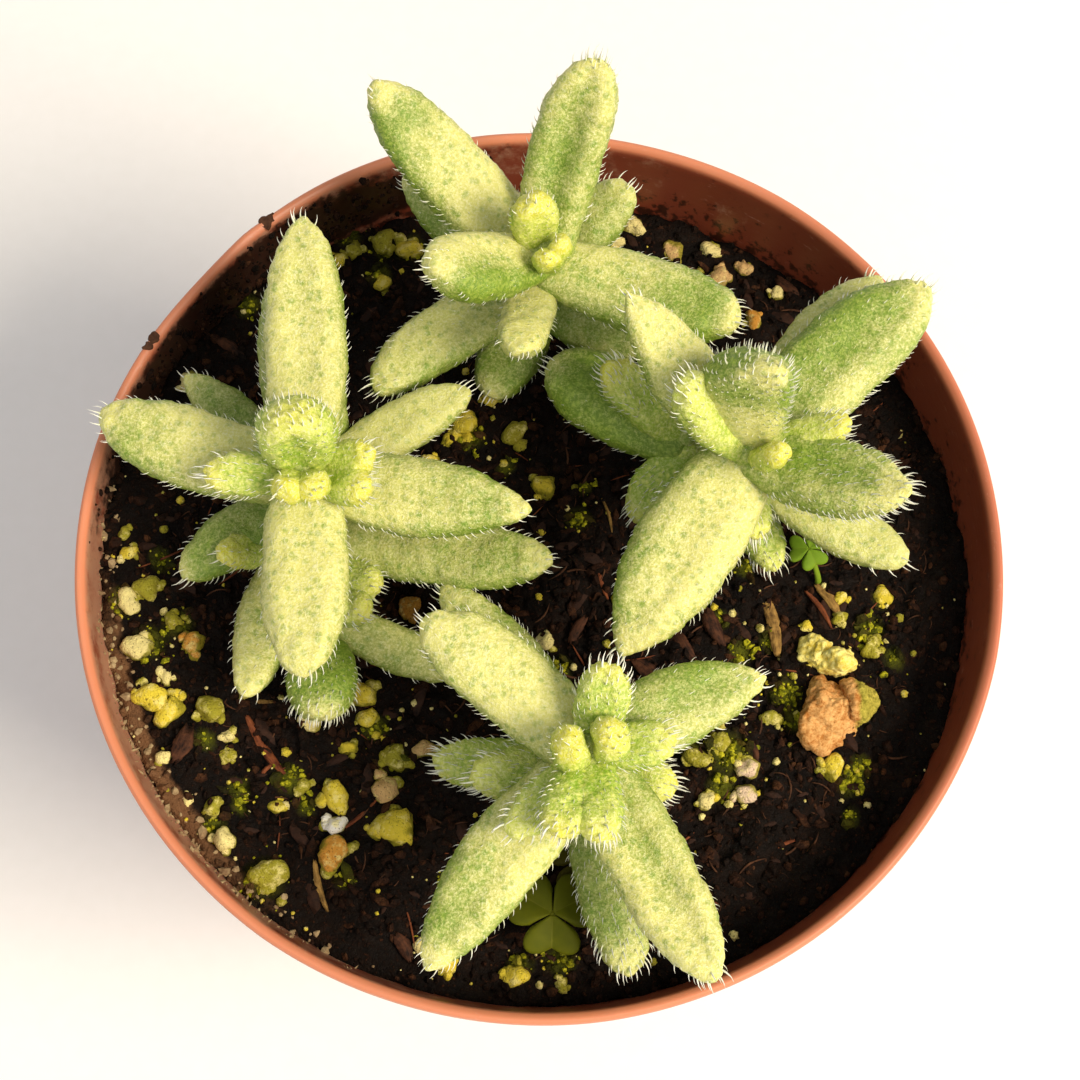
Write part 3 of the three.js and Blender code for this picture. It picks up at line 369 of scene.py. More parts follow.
# Clover leaves: where the stalk stands, where its leaflets meet, their length and turn, and how fresh
CLOVERS = {
    "clover_front": {
        "foot": [1.6, -37], "head": [1.2, -34.8, -3], "leaflet": 4, "turn": -92, "fresh": 0.4},
    "clover_middle": {
        "foot": [4.4, -32.6], "head": [4.2, -29.6, -4.6], "leaflet": 3.4, "turn": 20, "fresh": 0},
    "clover_right": {
        "foot": [28.1, -1.4], "head": [26.8, 1, -4.8], "leaflet": 2.1, "turn": 175, "fresh": 1},
}


def linear(code):
    """The linear colour of an sRGB hex value."""
    parts = [int(code[k:k + 2], 16) / 255 for k in (1, 3, 5)]
    return [p / 12.92 if p <= 0.04045 else ((p + 0.055) / 1.055) ** 2.4 for p in parts] + [1]


def add(tree, kind, inputs=(), out=None, stops=(), **settings):
    """Adds a node with its settings and links. Gives the output called out, or its first one.

    A kind without the word Node in it, such as Math or Mix, is a shader node's.
    """
    made = tree.nodes.new(kind if "Node" in kind else "ShaderNode" + kind)
    for key, value in settings.items():
        setattr(made, key, value)
    if stops:
        ramp = made.color_ramp.elements
        while len(ramp) < len(stops):
            ramp.new(1)
        for element, (place, code) in zip(ramp, stops):
            element.position = place
            element.color = linear(code)
    live = [socket for socket in made.inputs if socket.enabled]
    named = dict(zip(range(len(live)), inputs)) if isinstance(inputs, (list, tuple)) else inputs
    for key, value in named.items():
        socket = live[key] if isinstance(key, int) else next(s for s in live if s.name == key)
        if isinstance(value, bpy.types.NodeSocket):
            tree.links.new(value, socket)
        else:
            hexed = isinstance(value, str) and value.startswith("#")
            socket.default_value = linear(value) if hexed else value
    shown = [socket for socket in made.outputs if socket.enabled]
    if out:
        return made.outputs[out]
    return shown[0] if shown else None


def finish_named(name):
    """A new material with an empty node tree, and its place on the piece."""
    material = bpy.data.materials.new(name)
    material.use_nodes = True
    tree = material.node_tree
    tree.nodes.clear()
    return material, tree, add(tree, "TexCoord", out="Object")


def layered(tree, base, layers):
    """A colour with others laid over it in turn, each by its own share."""
    for share, colour in layers:
        base = add(tree, "Mix", {"Factor": share, "A": base, "B": colour}, data_type="RGBA")
    return base


def closed(material, sockets):
    """A material that ends in a Principled shader with these values on its sockets."""
    tree = material.node_tree
    shader = add(tree, "BsdfPrincipled", sockets)
    add(tree, "OutputMaterial", {"Surface": shader})
    return material


def told(tree, name):
    """A value that the mesh carries for each of its points."""
    return add(tree, "Attribute", out="Fac", attribute_name=name)


def papillose_leaf():
    """Living leaf flesh under a papillose skin: soft light through it, a frosted grain, small wet glints."""
    material, tree, place = finish_named("papillose_succulent_leaf")
    young = told(tree, "young")
    # Cream tissue lies in soft clouds about 3 mm wide, with finer mottling in them
    patch = add(tree, "TexNoise", {"Vector": place, "Scale": 330, "Detail": 2, "Roughness": 0.5})
    mottle = add(tree, "TexNoise", {"Vector": place, "Scale": 1500, "Detail": 2, "Roughness": 0.6})
    # Papillae, drawn 0.25 mm apart so that they show, frost the skin with a fine grain
    grain = add(tree, "TexNoise", {"Vector": place, "Scale": 4000, "Detail": 2, "Roughness": 0.8})
    cloud = add(tree, "Math", [patch, 0.7, -0.35], operation="MULTIPLY_ADD")
    fleck = add(tree, "Math", [mottle, 0.65, -0.325], operation="MULTIPLY_ADD")
    dust = add(tree, "Math", [grain, 0.8, -0.4], operation="MULTIPLY_ADD")
    coarse = add(tree, "Math", [cloud, fleck])
    drift = add(tree, "Math", [coarse, dust])
    amount = add(tree, "Math", [told(tree, "cream"), drift])
    cream = add(tree, "MapRange", [amount, -0.05, 0.85, 0, 1], **SMOOTH)
    green = layered(tree, "#6d8b24", [(young, "#85a92c")])
    pale = layered(tree, "#d9d67a", [(young, "#c9d25c")])
    # Round green cells, 0.85 mm apart, show through the skin as soft dots, fainter in cream tissue
    cell = add(tree, "TexVoronoi", {"Vector": place, "Scale": 1180, "Randomness": 0.85})
    dot = add(tree, "MapRange", [cell, 0.5, 0.2, 0, 1], **SMOOTH)
    rest = add(tree, "MapRange", [cream, 0.2, 1, 0.85, 0.6])
    strewn = add(tree, "MapRange", [patch, 0.4, 0.62, 1, 0.6])
    old = add(tree, "Math", [strewn, young], operation="SUBTRACT", use_clamp=True)
    share = add(tree, "Math", [rest, old], operation="MULTIPLY")
    dotted = add(tree, "Math", [dot, share], operation="MULTIPLY")
    # Ripe yellow spreads from the tips of the youngest leaves
    tip = add(tree, "Math", [told(tree, "yellow"), dust])
    ripe = add(tree, "MapRange", [tip, 0.25, 0.95, 0, 0.85], **SMOOTH)
    # Swollen papillae, 0.6 mm apart, stand out pale on young leaves and lighter green in green tissue
    bead = add(tree, "TexVoronoi", {"Vector": place, "Scale": 1650, "Randomness": 0.8})
    crest = add(tree, "MapRange", [bead, 0.48, 0.12, 0, 0.8])
    verdant = add(tree, "Math", [cream, -0.8, 0.7], operation="MULTIPLY_ADD")
    swollen = add(tree, "Math", [young, verdant], operation="MAXIMUM")
    beaded = add(tree, "Math", [crest, swollen], operation="MULTIPLY")
    pearl = layered(tree, "#b2c552", [(young, "#e2e670")])
    frost = add(tree, "MapRange", [grain, 0.44, 0.7, 0, 0.62])
    rime = layered(tree, "#b6c456", [(cream, "#f5f3c8")])
    # Low leaves and stems are mixed toward a dull green as painted shade, where the leaves above them would
    # shade them
    colour = layered(tree, green, [
        (cream, pale), (dotted, "#789729"), (ripe, "#dbd63c"), (beaded, pearl), (frost, rime),
        (told(tree, "dull"), "#64802f")])
    bump = add(tree, "Bump", {"Height": grain, "Strength": 0.8, "Distance": 0.00018})
    wet = add(tree, "MapRange", [mottle, 0.4, 0.65, 0.5, 0.28])
    return closed(material, {
        "Base Color": colour, "Roughness": wet, "Normal": bump, "Subsurface Weight": 0.2,
        "Subsurface Radius": [1.0, 1.0, 0.4], "Subsurface Scale": 0.0007, "Specular IOR Level": 0.45})


def clear_bristle():
    """Stiff, glassy plant bristles: white where the light catches them, greenish at the root."""
    material, tree, place = finish_named("glassy_plant_bristle")
    tone = add(tree, "TexNoise", {"Vector": place, "Scale": 900})
    pale = add(tree, "MapRange", [told(tree, "along"), 0.05, 0.5, 0, 1])
    colour = layered(tree, "#b9c97c", [(tone, "#dfe5ac"), (pale, "#f7f7ea")])
    return closed(material, {"Base Color": colour, "Roughness": 0.35})


def moist_soil():
    """Damp peat and loam: nearly black, warmer brown on the crumbs that have dried, hardly any shine."""
    material, tree, place = finish_named("moist_peat_soil")
    mass = add(tree, "TexNoise", {"Vector": place, "Scale": 420, "Detail": 6, "Roughness": 0.75})
    crumb = add(tree, "TexNoise", {"Vector": place, "Scale": 1800, "Detail": 3, "Roughness": 0.75})
    # Each loose crumb carries its own tone
    tone = add(tree, "Math", [told(tree, "kind"), 0.28, -0.08], operation="MULTIPLY_ADD")
    level = add(tree, "Math", [mass, tone])
    colour = add(tree, "ValToRGB", [level], stops=[
        (0.32, "#080402"), (0.5, "#150b05"), (0.66, "#2d180c"), (0.86, "#5c3a22")])
    fibre = add(tree, "MapRange", [crumb, 0.58, 0.78, 0, 0.55], **SMOOTH)
    # Algae tint the damp surface round the moss
    film = add(tree, "Math", [told(tree, "moss"), crumb], operation="MULTIPLY")
    share = add(tree, "MapRange", [film, 0.04, 0.4, 0, 0.85])
    # Hard water has dried pale along the front left edge
    line = add(tree, "Math", [told(tree, "crust"), mass], operation="MULTIPLY")
    dried = add(tree, "MapRange", [line, 0.2, 0.5, 0, 0.8], **SMOOTH)
    edged = layered(tree, colour, [(fibre, "#5a3420"), (share, "#575b10"), (dried, "#7f5a3c")])
    wet = add(tree, "MapRange", [crumb, 0.35, 0.6, 0.55, 0.95])
    bump = add(tree, "Bump", {"Height": crumb, "Strength": 1, "Distance": 0.0005})
    return closed(material, {
        "Base Color": edged, "Roughness": wet, "Normal": bump, "Specular IOR Level": 0.15})


def algal_grit():
    """Porous volcanic grit and perlite: cream, yellow or rusty grains, mottled green from below by algae."""
    material, tree, place = finish_named("algae_stained_grit")
    kinds = ["#ecdc92", "#dcc63a", "#a0982a", "#d09238", "#d2ab70", "#f2eee2", "#e2c6a8"]
    colour = add(tree, "ValToRGB", [told(tree, "kind")], stops=[
        (k / len(kinds), code) for k, code in enumerate(kinds)])
    colour.node.color_ramp.interpolation = "CONSTANT"
    mottle = add(tree, "TexNoise", {"Vector": place, "Scale": 1000, "Detail": 4, "Roughness": 0.7})
    bright = add(tree, "MapRange", [mottle, 0.5, 0.66, 0, 0.7])
    patch = add(tree, "TexNoise", {"Vector": place, "Scale": 620, "Detail": 3, "Roughness": 0.65})
    rise = add(tree, "Math", [told(tree, "algae"), patch])
    where = add(tree, "MapRange", [rise, 0.5, 0.72, 0, 0.9], **SMOOTH)
    stain = layered(tree, "#5a5e0c", [(mottle, "#b0a11e")])
    pore = add(tree, "TexNoise", {"Vector": place, "Scale": 3600, "Detail": 2, "Roughness": 0.8})
    dark = add(tree, "MapRange", [pore, 0.42, 0.3, 0, 0.75])
    pitted = layered(tree, colour, [(bright, "#f7e994"), (where, stain), (dark, "#453413")])
    bump = add(tree, "Bump", {"Height": pore, "Strength": 0.9, "Distance": 0.0003})
    return closed(material, {
        "Base Color": pitted, "Roughness": 0.85, "Normal": bump, "Specular IOR Level": 0.3})


def stained_pumice(name, light, deep):
    """Porous pumice: rough, warm, granular stone with dark pits, and an algae stain on its damp side."""
    material, tree, place = finish_named(name)
    mass = add(tree, "TexNoise", {"Vector": place, "Scale": 520, "Detail": 5, "Roughness": 0.7})
    grain = add(tree, "TexNoise", {"Vector": place, "Scale": 2600, "Detail": 3, "Roughness": 0.75})
    both = add(tree, "Mix", {"Factor": 0.5, "A": mass, "B": grain}, data_type="FLOAT")
    warm = add(tree, "MapRange", [both, 0.4, 0.6, 0, 1])
    edge = add(tree, "Math", [told(tree, "algae"), mass])
    algae = add(tree, "MapRange", [edge, 0.65, 1.05, 0, 0.9], **SMOOTH)
    stain = layered(tree, "#6f7420", [(warm, "#c5b94a")])
    pit = add(tree, "MapRange", [grain, 0.4, 0.3, 0, 0.45])
    pitted = layered(tree, deep, [(warm, light), (algae, stain), (pit, "#6a4218")])
    bump = add(tree, "Bump", {"Height": grain, "Strength": 0.8, "Distance": 0.0002})
    return closed(material, {
        "Base Color": pitted, "Roughness": 0.9, "Normal": bump, "Specular IOR Level": 0.25})


def cushion_moss():
    """Living moss: bright yellow-green tufts over a darker, damp green, matt and lit through."""
    material, tree, place = finish_named("living_cushion_moss")
    tuft = add(tree, "TexNoise", {"Vector": place, "Scale": 1500, "Detail": 3, "Roughness": 0.7})
    colour = add(tree, "ValToRGB", [tuft], stops=[
        (0.34, "#3a3e06"), (0.5, "#84840e"), (0.66, "#cdc52a")])
    return closed(material, {
        "Base Color": colour, "Roughness": 0.8, "Specular IOR Level": 0.2, "Subsurface Weight": 0.15,
        "Subsurface Radius": [0.8, 1, 0.2], "Subsurface Scale": 0.0004})


def moulded_pot():
    """Injection-moulded terracotta polypropylene: satin, scuffed, with hard-water residue inside, painted
    shade on the inner wall and a painted highlight on the lip.
    """
    material, tree, place = finish_named("moulded_terracotta_polypropylene")
    split = add(tree, "SeparateXYZ", [place])
    across, back, height = split.node.outputs
    mottle = add(tree, "TexNoise", {"Vector": place, "Scale": 90, "Detail": 5, "Roughness": 0.6})
    inside = told(tree, "inside")
    near = told(tree, "crust")
    # Painted shade darkens the inside of the pot, less where the crust lies
    bare = add(tree, "Math", [near, -0.6, 0.6], operation="MULTIPLY_ADD")
    deep = add(tree, "Math", [inside, bare], operation="MULTIPLY")
    # The top of the lip is painted paler than the wall as a painted highlight, strongest on its left and
    # weakest on its right
    handled = add(tree, "MapRange", [across, 0.02, 0.045, 0.85, 0.4])
    top = add(tree, "MapRange", [height, 0.0747, 0.0757, 0, 1], **SMOOTH)
    lip = add(tree, "Math", [top, handled], operation="MULTIPLY")
    # Scratches run round the pot: the pattern is stretched along the wall by turning to polar places
    angle = add(tree, "Math", [back, across], operation="ARCTAN2")
    girth = add(tree, "Math", [angle, 0.012], operation="MULTIPLY")
    rolled = add(tree, "CombineXYZ", [girth, height, 0])
    scratch = add(tree, "TexNoise", {"Vector": rolled, "Scale": 1500, "Detail": 4, "Roughness": 0.7})
    scuff = add(tree, "MapRange", [scratch, 0.62, 0.74, 0, 0.45])
    # Residue: a pale bloom where water stood, on the inside of the band, most on its left
    bloom = add(tree, "TexNoise", {"Vector": place, "Scale": 330, "Detail": 6, "Roughness": 0.75})
    leftward = add(tree, "MapRange", [across, 0.03, -0.045, 0.0, 0.3])
    most_left = add(tree, "Math", [near, 0.2, leftward], operation="MULTIPLY_ADD")
    level = add(tree, "Math", [bloom, most_left])
    crust = add(tree, "MapRange", [level, 0.62, 0.86, 0, 0.75], **SMOOTH)
    share = add(tree, "Math", [crust, inside], operation="MULTIPLY")
    # Splashed soil sticks low on the inside
    splash = add(tree, "TexNoise", {"Vector": place, "Scale": 700, "Detail": 4, "Roughness": 0.7})
    low = add(tree, "MapRange", [height, 0.0735, 0.066, 0.0, 0.2])
    mud = add(tree, "Math", [splash, low])
    muddy = add(tree, "MapRange", [mud, 0.66, 0.76, 0, 0.85], **SMOOTH)
    # Potting soil still clings to the back left of the wall, up to the lip
    cling = add(tree, "Math", [told(tree, "clods"), splash])
    clung = add(tree, "MapRange", [cling, 0.55, 0.85, 0, 0.95], **SMOOTH)
    most = add(tree, "Math", [muddy, clung], operation="MAXIMUM")
    dirt = add(tree, "Math", [most, inside], operation="MULTIPLY")
    # Pale dust sits round the foot, on which the pot stood
    foot = add(tree, "MapRange", [height, 0.011, 0.0005, 0, 0.9])
    sprinkled = add(tree, "Math", [foot, bloom], operation="MULTIPLY")
    colour = layered(tree, "#9b4b34", [
        (mottle, "#b25d44"), (deep, "#6e2f1c"), (lip, "#de8e68"), (scuff, "#dca592"), (share, "#b88a70"),
        (dirt, "#26140c"), (sprinkled, "#c9a594")])
    satin = add(tree, "MapRange", [mottle, 0.3, 0.7, 0.34, 0.5])
    bump = add(tree, "Bump", {"Height": scratch, "Strength": 0.25, "Distance": 0.0001})
    return closed(material, {
        "Base Color": colour, "Roughness": satin, "Normal": bump, "Subsurface Weight": 0.12,
        "Subsurface Radius": [1, 0.35, 0.2], "Subsurface Scale": 0.001})


def clover_blade():
    """Thin clover blade: matt olive green, browned or fresh, with paler ribs, some light through it."""
    material, tree, place = finish_named("matt_clover_blade")
    tone = add(tree, "TexNoise", {"Vector": place, "Scale": 700, "Detail": 3})
    dark = add(tree, "ValToRGB", [told(tree, "fresh")], stops=[
        (0, "#3a3606"), (0.4, "#4b5208"), (1, "#5a8012")])
    light = add(tree, "ValToRGB", [told(tree, "fresh")], stops=[
        (0, "#56500e"), (0.4, "#6a6c0c"), (1, "#88a62c")])
    rib = add(tree, "MapRange", [told(tree, "rib"), 0.55, 1, 0, 0.35])
    ribbed = layered(tree, dark, [(tone, light), (rib, "#85822c")])
    return closed(material, {
        "Base Color": ribbed, "Roughness": 0.65, "Specular IOR Level": 0.15, "Subsurface Weight": 0.3,
        "Subsurface Radius": [0.8, 1, 0.3], "Subsurface Scale": 0.0004})


def plant_litter(name, dark, light):
    """Dry litter, such as fibre, bark, wood or crust: matt, streaked along its grain in two near tones."""
    material, tree, place = finish_named(name)
    along = add(tree, "Math", [told(tree, "along"), 0.25], operation="MULTIPLY")
    drawn = add(tree, "CombineXYZ", [along, told(tree, "across"), 0])
    # Wood and bark grain runs 0.3 mm wide and a few millimetres long
    streak = add(tree, "TexNoise", {"Vector": drawn, "Scale": 3, "Detail": 3, "Roughness": 0.6})
    spot = add(tree, "TexNoise", {"Vector": place, "Scale": 900, "Detail": 3, "Roughness": 0.7})
    tone = add(tree, "Mix", {"Factor": 0.5, "A": streak, "B": spot}, data_type="FLOAT")
    colour = add(tree, "ValToRGB", [tone], stops=[(0.38, dark), (0.62, light)])
    bump = add(tree, "Bump", {"Height": tone, "Strength": 0.8, "Distance": 0.0003})
    return closed(material, {
        "Base Color": colour, "Roughness": 0.8, "Normal": bump, "Specular IOR Level": 0.2})


def pale_floor():
    """Seamless white paper: matt, with the faintest tooth."""
    material, tree, place = finish_named("matt_white_paper")
    tooth = add(tree, "TexNoise", {"Vector": place, "Scale": 400, "Detail": 2})
    colour = layered(tree, "#f7f6f4", [(tooth, "#fbfaf9")])
    return closed(material, {"Base Color": colour, "Roughness": 0.9})


def shown(name, data):
    """An object in the scene, of a mesh, a lamp or a camera."""
    made = bpy.data.objects.new(name, data)
    bpy.context.scene.collection.objects.link(made)
    return made


def carry(mesh, carried):
    """Gives each point of a mesh its value under each name in carried."""
    for key, values in carried.items():
        values = np.asarray(values, np.float32)
        vector = values.ndim == 2
        layer = mesh.attributes.new(key, "FLOAT_VECTOR" if vector else "FLOAT", "POINT")
        layer.data.foreach_set("vector" if vector else "value", values.ravel())


def shade(mesh, smooth):
    mesh.polygons.foreach_set("use_smooth", [smooth] * len(mesh.polygons))


def piece_of(name, points, faces, carried=None):
    """A mesh object, from points in millimetres and a value for each point under each name in carried."""
    mesh = bpy.data.meshes.new(name)
    mesh.from_pydata((np.asarray(points) * MM).tolist(), [], [list(face) for face in faces])
    carry(mesh, carried or {})
    shade(mesh, True)
    mesh.update()
    return shown(name, mesh)


def shaped(name, shape):
    """A mesh object of a bmesh, which is freed."""
    mesh = bpy.data.meshes.new(name)
    shape.to_mesh(mesh)
    shape.free()
    return shown(name, mesh)


def round_turn(sides, start=0):
    """Even angles once round, the first of them a share of a step on."""
    return 2 * math.pi * (np.arange(sides) + start) / sides


def spin(turn):
    """The matrix that turns rows of points about +Z."""
    return np.array([[math.cos(turn), math.sin(turn), 0], [-math.sin(turn), math.cos(turn), 0], [0, 0, 1]])


def skin_faces(rings, sides):
    """Faces of a closed skin: a first point, rings of points, and a last point."""
    faces = []
    last = 1 + rings * sides
    for k in range(sides):
        after = (k + 1) % sides
        faces.append((0, 1 + after, 1 + k))
        faces.append((last, last - sides + k, last - sides + after))
    for ring in range(rings - 1):
        low = 1 + ring * sides
        for k in range(sides):
            after = (k + 1) % sides
            faces.append((low + k, low + after, low + sides + after, low + sides + k))
    return faces


def outward(points, faces):
    """Faces turned to point out of the body that they close."""
    a, b, c = (points[[face[k] for face in faces]] for k in range(3))
    volume = np.einsum("ij,ij->i", a, np.cross(b, c)).sum()
    return faces if volume > 0 else [tuple(reversed(face)) for face in faces]


def closed_skin(first, rings, last):
    """Points and outward faces of a body: a first point, a stack of rings and a last point."""
    points = np.concatenate([[first], rings.reshape(-1, 3), [last]])
    return points, outward(points, skin_faces(*rings.shape[:2]))


def joined(parts):
    """Several skins as one: their points, faces and carried values."""
    points = np.concatenate([part[0] for part in parts])
    starts = np.cumsum([0] + [len(part[0]) for part in parts])
    faces = [tuple(corner + int(start) for corner in face)
             for part, start in zip(parts, starts) for face in part[1]]
    carried = {key: np.concatenate([part[2][key] for part in parts]) for key in parts[0][2]}
    return points, faces, carried


def tree_of(name, sizes):
    """A Geometry Nodes tree with its named inputs, and the outputs of its input node."""
    tree = bpy.data.node_groups.new(name, "GeometryNodeTree")
    tree.interface.new_socket("Geometry", in_out="INPUT", socket_type="NodeSocketGeometry")
    for label, kind in sizes.items():
        tree.interface.new_socket(label, in_out="INPUT", socket_type=kind)
    tree.interface.new_socket("Geometry", in_out="OUTPUT", socket_type="NodeSocketGeometry")
    return tree, tree.nodes.new("NodeGroupInput").outputs


def as_mesh(base):
    """A plain mesh of what an object's modifiers make of it."""
    graph = bpy.context.evaluated_depsgraph_get()
    return bpy.data.meshes.new_from_object(
        base.evaluated_get(graph), preserve_all_data_layers=True, depsgraph=graph)


def grown(base, tree, name=None, **values):
    """What a tree makes of an object: in place, or as a new object called name."""
    modifier = base.modifiers.new("grow", "NODES")
    modifier.node_group = tree
    for item in tree.interface.items_tree:
        key = item.name.replace(" ", "_").lower()
        if item.item_type == "SOCKET" and item.in_out == "INPUT" and key in values:
            modifier[item.identifier] = values[key]
    mesh = as_mesh(base)
    base.modifiers.remove(modifier)
    if name is None:
        base.data = mesh
        return base
    mesh.name = name
    return shown(name, mesh)


def roughen(made, trees, *kinds):
    """Raises the relief of each of these kinds on an object's surface."""
    for kind in kinds:
        cell, bump, lump_width, lump = (size * MM for size in RELIEF[kind])
        grown(made, trees["relief"], cell=cell, bump=bump, lump_width=lump_width, lump=lump)


def relief_tree():
    """Raises a surface along its normals: round bumps one cell apart, and broad lumps."""
    tree, given = tree_of("surface_relief", {
        "Cell": "NodeSocketFloat", "Bump": "NodeSocketFloat",
        "Lump width": "NodeSocketFloat", "Lump": "NodeSocketFloat"})
    place = add(tree, "GeometryNodeInputPosition")
    fine = add(tree, "Math", [1, given["Cell"]], operation="DIVIDE")
    cell = add(tree, "TexVoronoi", {"Vector": place, "Scale": fine}, feature="SMOOTH_F1")
    bump = add(tree, "MapRange", [cell, 0.1, 0.7, given["Bump"], 0])
    broad = add(tree, "Math", [1, given["Lump width"]], operation="DIVIDE")
    wave = add(tree, "TexNoise", {"Vector": place, "Scale": broad, "Detail": 2})
    centred = add(tree, "Math", [wave, 0.5], operation="SUBTRACT")
    lump = add(tree, "Math", [centred, given["Lump"]], operation="MULTIPLY")
    height = add(tree, "Math", [bump, lump])
    weight = add(tree, "GeometryNodeInputNamedAttribute", {"Name": "relief"}, data_type="FLOAT")
    weighed = add(tree, "Math", [height, weight], operation="MULTIPLY")
    normal = add(tree, "GeometryNodeInputNormal")
    offset = add(tree, "VectorMath", [normal, weighed], operation="SCALE")
    moved = add(tree, "GeometryNodeSetPosition", {"Geometry": given["Geometry"], "Offset": offset})
    add(tree, "NodeGroupOutput", {"Geometry": moved})
    return tree


def bristle_tree():
    """Curved, tapered bristles spread over a skin, denser where its bristly value is high."""
    tree, given = tree_of("curved_bristles", {
        "Density": "NodeSocketFloat", "Spacing": "NodeSocketFloat", "Length": "NodeSocketFloat",
        "Radius": "NodeSocketFloat", "Seed": "NodeSocketInt", "Material": "NodeSocketMaterial"})
    bristly = add(tree, "GeometryNodeInputNamedAttribute", {"Name": "bristly"}, data_type="FLOAT")
    spread = add(tree, "GeometryNodeDistributePointsOnFaces", {
        "Mesh": given["Geometry"], "Distance Min": given["Spacing"], "Density Max": given["Density"],
        "Density Factor": bristly, "Seed": given["Seed"]}, distribute_method="POISSON")
    normal = spread.node.outputs["Normal"]
    forward = add(tree, "GeometryNodeInputNamedAttribute", {"Name": "forward"}, data_type="FLOAT_VECTOR")
    leant = add(tree, "VectorMath", [forward, 0.6], operation="SCALE")
    jitter = add(tree, "FunctionNodeRandomValue", {
        "Min": [-0.2, -0.2, -0.2], "Max": [0.2, 0.2, 0.2], "Seed": given["Seed"]},
        data_type="FLOAT_VECTOR")
    stray = add(tree, "VectorMath", [leant, jitter])
    aim = add(tree, "VectorMath", [normal, stray])
    turn = add(tree, "FunctionNodeAxesToRotation", {"Primary Axis": aim, "Secondary Axis": forward})
    tall = add(tree, "FunctionNodeRandomValue", {"Min": 0.7, "Max": 1.2, "Seed": given["Seed"]},
               data_type="FLOAT")
    reach = add(tree, "GeometryNodeInputNamedAttribute", {"Name": "reach"}, data_type="FLOAT")
    size = add(tree, "Math", [tall, reach], operation="MULTIPLY")
    long = add(tree, "Math", [given["Length"], size], operation="MULTIPLY")
    arc = add(tree, "GeometryNodeCurveQuadraticBezier", {
        "Resolution": 3, "Start": [0, 0, -0.15], "Middle": [0, 0, 0.6], "End": [0.36, 0, 0.92]})
    along = add(tree, "GeometryNodeSplineParameter")
    marked = add(tree, "GeometryNodeStoreNamedAttribute", {"Geometry": arc, "Name": "along", "Value": along},
                 data_type="FLOAT", domain="POINT")
    thin = add(tree, "Math", [given["Radius"], given["Length"]], operation="DIVIDE")
    taper = add(tree, "MapRange", [along, 0, 1, thin, 0])
    stub = add(tree, "Math", [taper, 0.008], operation="ADD")
    tapered = add(tree, "GeometryNodeSetCurveRadius", {"Curve": marked, "Radius": stub})
    round_ = add(tree, "GeometryNodeCurvePrimitiveCircle", {"Resolution": 3, "Radius": 1})
    tube = add(tree, "GeometryNodeCurveToMesh", {
        "Curve": tapered, "Profile Curve": round_, "Scale": stub, "Fill Caps": True})
    planted = add(tree, "GeometryNodeInstanceOnPoints", {
        "Points": spread, "Instance": tube, "Rotation": turn, "Scale": long})
    real = add(tree, "GeometryNodeRealizeInstances", {"Geometry": planted})
    dressed = add(tree, "GeometryNodeSetMaterial", {"Geometry": real, "Material": given["Material"]})
    add(tree, "NodeGroupOutput", {"Geometry": dressed})
    return tree


def scatter_tree():
    """Copies of one small shape strewn over a surface, turned and sized by chance."""
    tree, given = tree_of("strewn_bits", {
        "Shape": "NodeSocketObject", "Where": "NodeSocketString",
        "Density": "NodeSocketFloat", "Spacing": "NodeSocketFloat",
        "Smallest": "NodeSocketFloat", "Largest": "NodeSocketFloat", "Lie flat": "NodeSocketFloat",
        "Seed": "NodeSocketInt", "Kinds": "NodeSocketFloat", "Material": "NodeSocketMaterial"})
    room = add(tree, "GeometryNodeInputNamedAttribute", {"Name": given["Where"]}, data_type="FLOAT")
    spread = add(tree, "GeometryNodeDistributePointsOnFaces", {
        "Mesh": given["Geometry"], "Distance Min": given["Spacing"], "Density Max": given["Density"],
        "Density Factor": room, "Seed": given["Seed"]}, distribute_method="POISSON")
    kind = add(tree, "FunctionNodeRandomValue", {"Min": 0.0, "Max": given["Kinds"], "Seed": 5},
               data_type="FLOAT")
    marked = add(tree, "GeometryNodeStoreNamedAttribute", {
        "Geometry": spread, "Name": "kind", "Value": kind}, data_type="FLOAT", domain="POINT")
    shape = add(tree, "GeometryNodeObjectInfo", {"Object": given["Shape"]}, out="Geometry")
    wild = add(tree, "Math", [1, given["Lie flat"]], operation="SUBTRACT")
    tilt = add(tree, "Math", [wild, math.pi], operation="MULTIPLY")
    back = add(tree, "Math", [tilt, -1], operation="MULTIPLY")
    low = add(tree, "CombineXYZ", [back, back, -math.pi])
    high = add(tree, "CombineXYZ", [tilt, tilt, math.pi])
    turn = add(tree, "FunctionNodeRandomValue", {"Min": low, "Max": high, "Seed": given["Seed"]},
               data_type="FLOAT_VECTOR")
    small = add(tree, "FunctionNodeRandomValue", {"Min": 0.0, "Max": 1.0, "Seed": given["Seed"]},
                data_type="FLOAT")
    skewed = add(tree, "Math", [small, 2.2], operation="POWER")
    size = add(tree, "MapRange", [skewed, 0, 1, given["Smallest"], given["Largest"]])
    planted = add(tree, "GeometryNodeInstanceOnPoints", {
        "Points": marked, "Instance": shape, "Rotation": turn, "Scale": size})
    real = add(tree, "GeometryNodeRealizeInstances", {"Geometry": planted})
    dressed = add(tree, "GeometryNodeSetMaterial", {"Geometry": real, "Material": given["Material"]})
    add(tree, "NodeGroupOutput", {"Geometry": dressed})
    return tree


def soil_height(x, y):
    """Height of the soil from the rim's plane: higher at the left, lower at the back, lumpy."""
    left = np.maximum(0, -np.asarray(x) / BAND_INNER_RADIUS) ** 1.5
    back = np.maximum(0, np.asarray(y) / BAND_INNER_RADIUS) ** 1.5
    mounds = SOIL_MOUND * np.sin(0.31 * x + 1.3) * np.cos(0.27 * y)
    lumps = SOIL_LUMP * np.sin(0.62 * x - 0.5 * y)
    return -SOIL_DROP + SOIL_RISE_LEFT * left - SOIL_FALL_BACK * back + mounds + lumps


def from_rim(points):
    return np.asarray(points, float) + [0, 0, POT_HEIGHT]


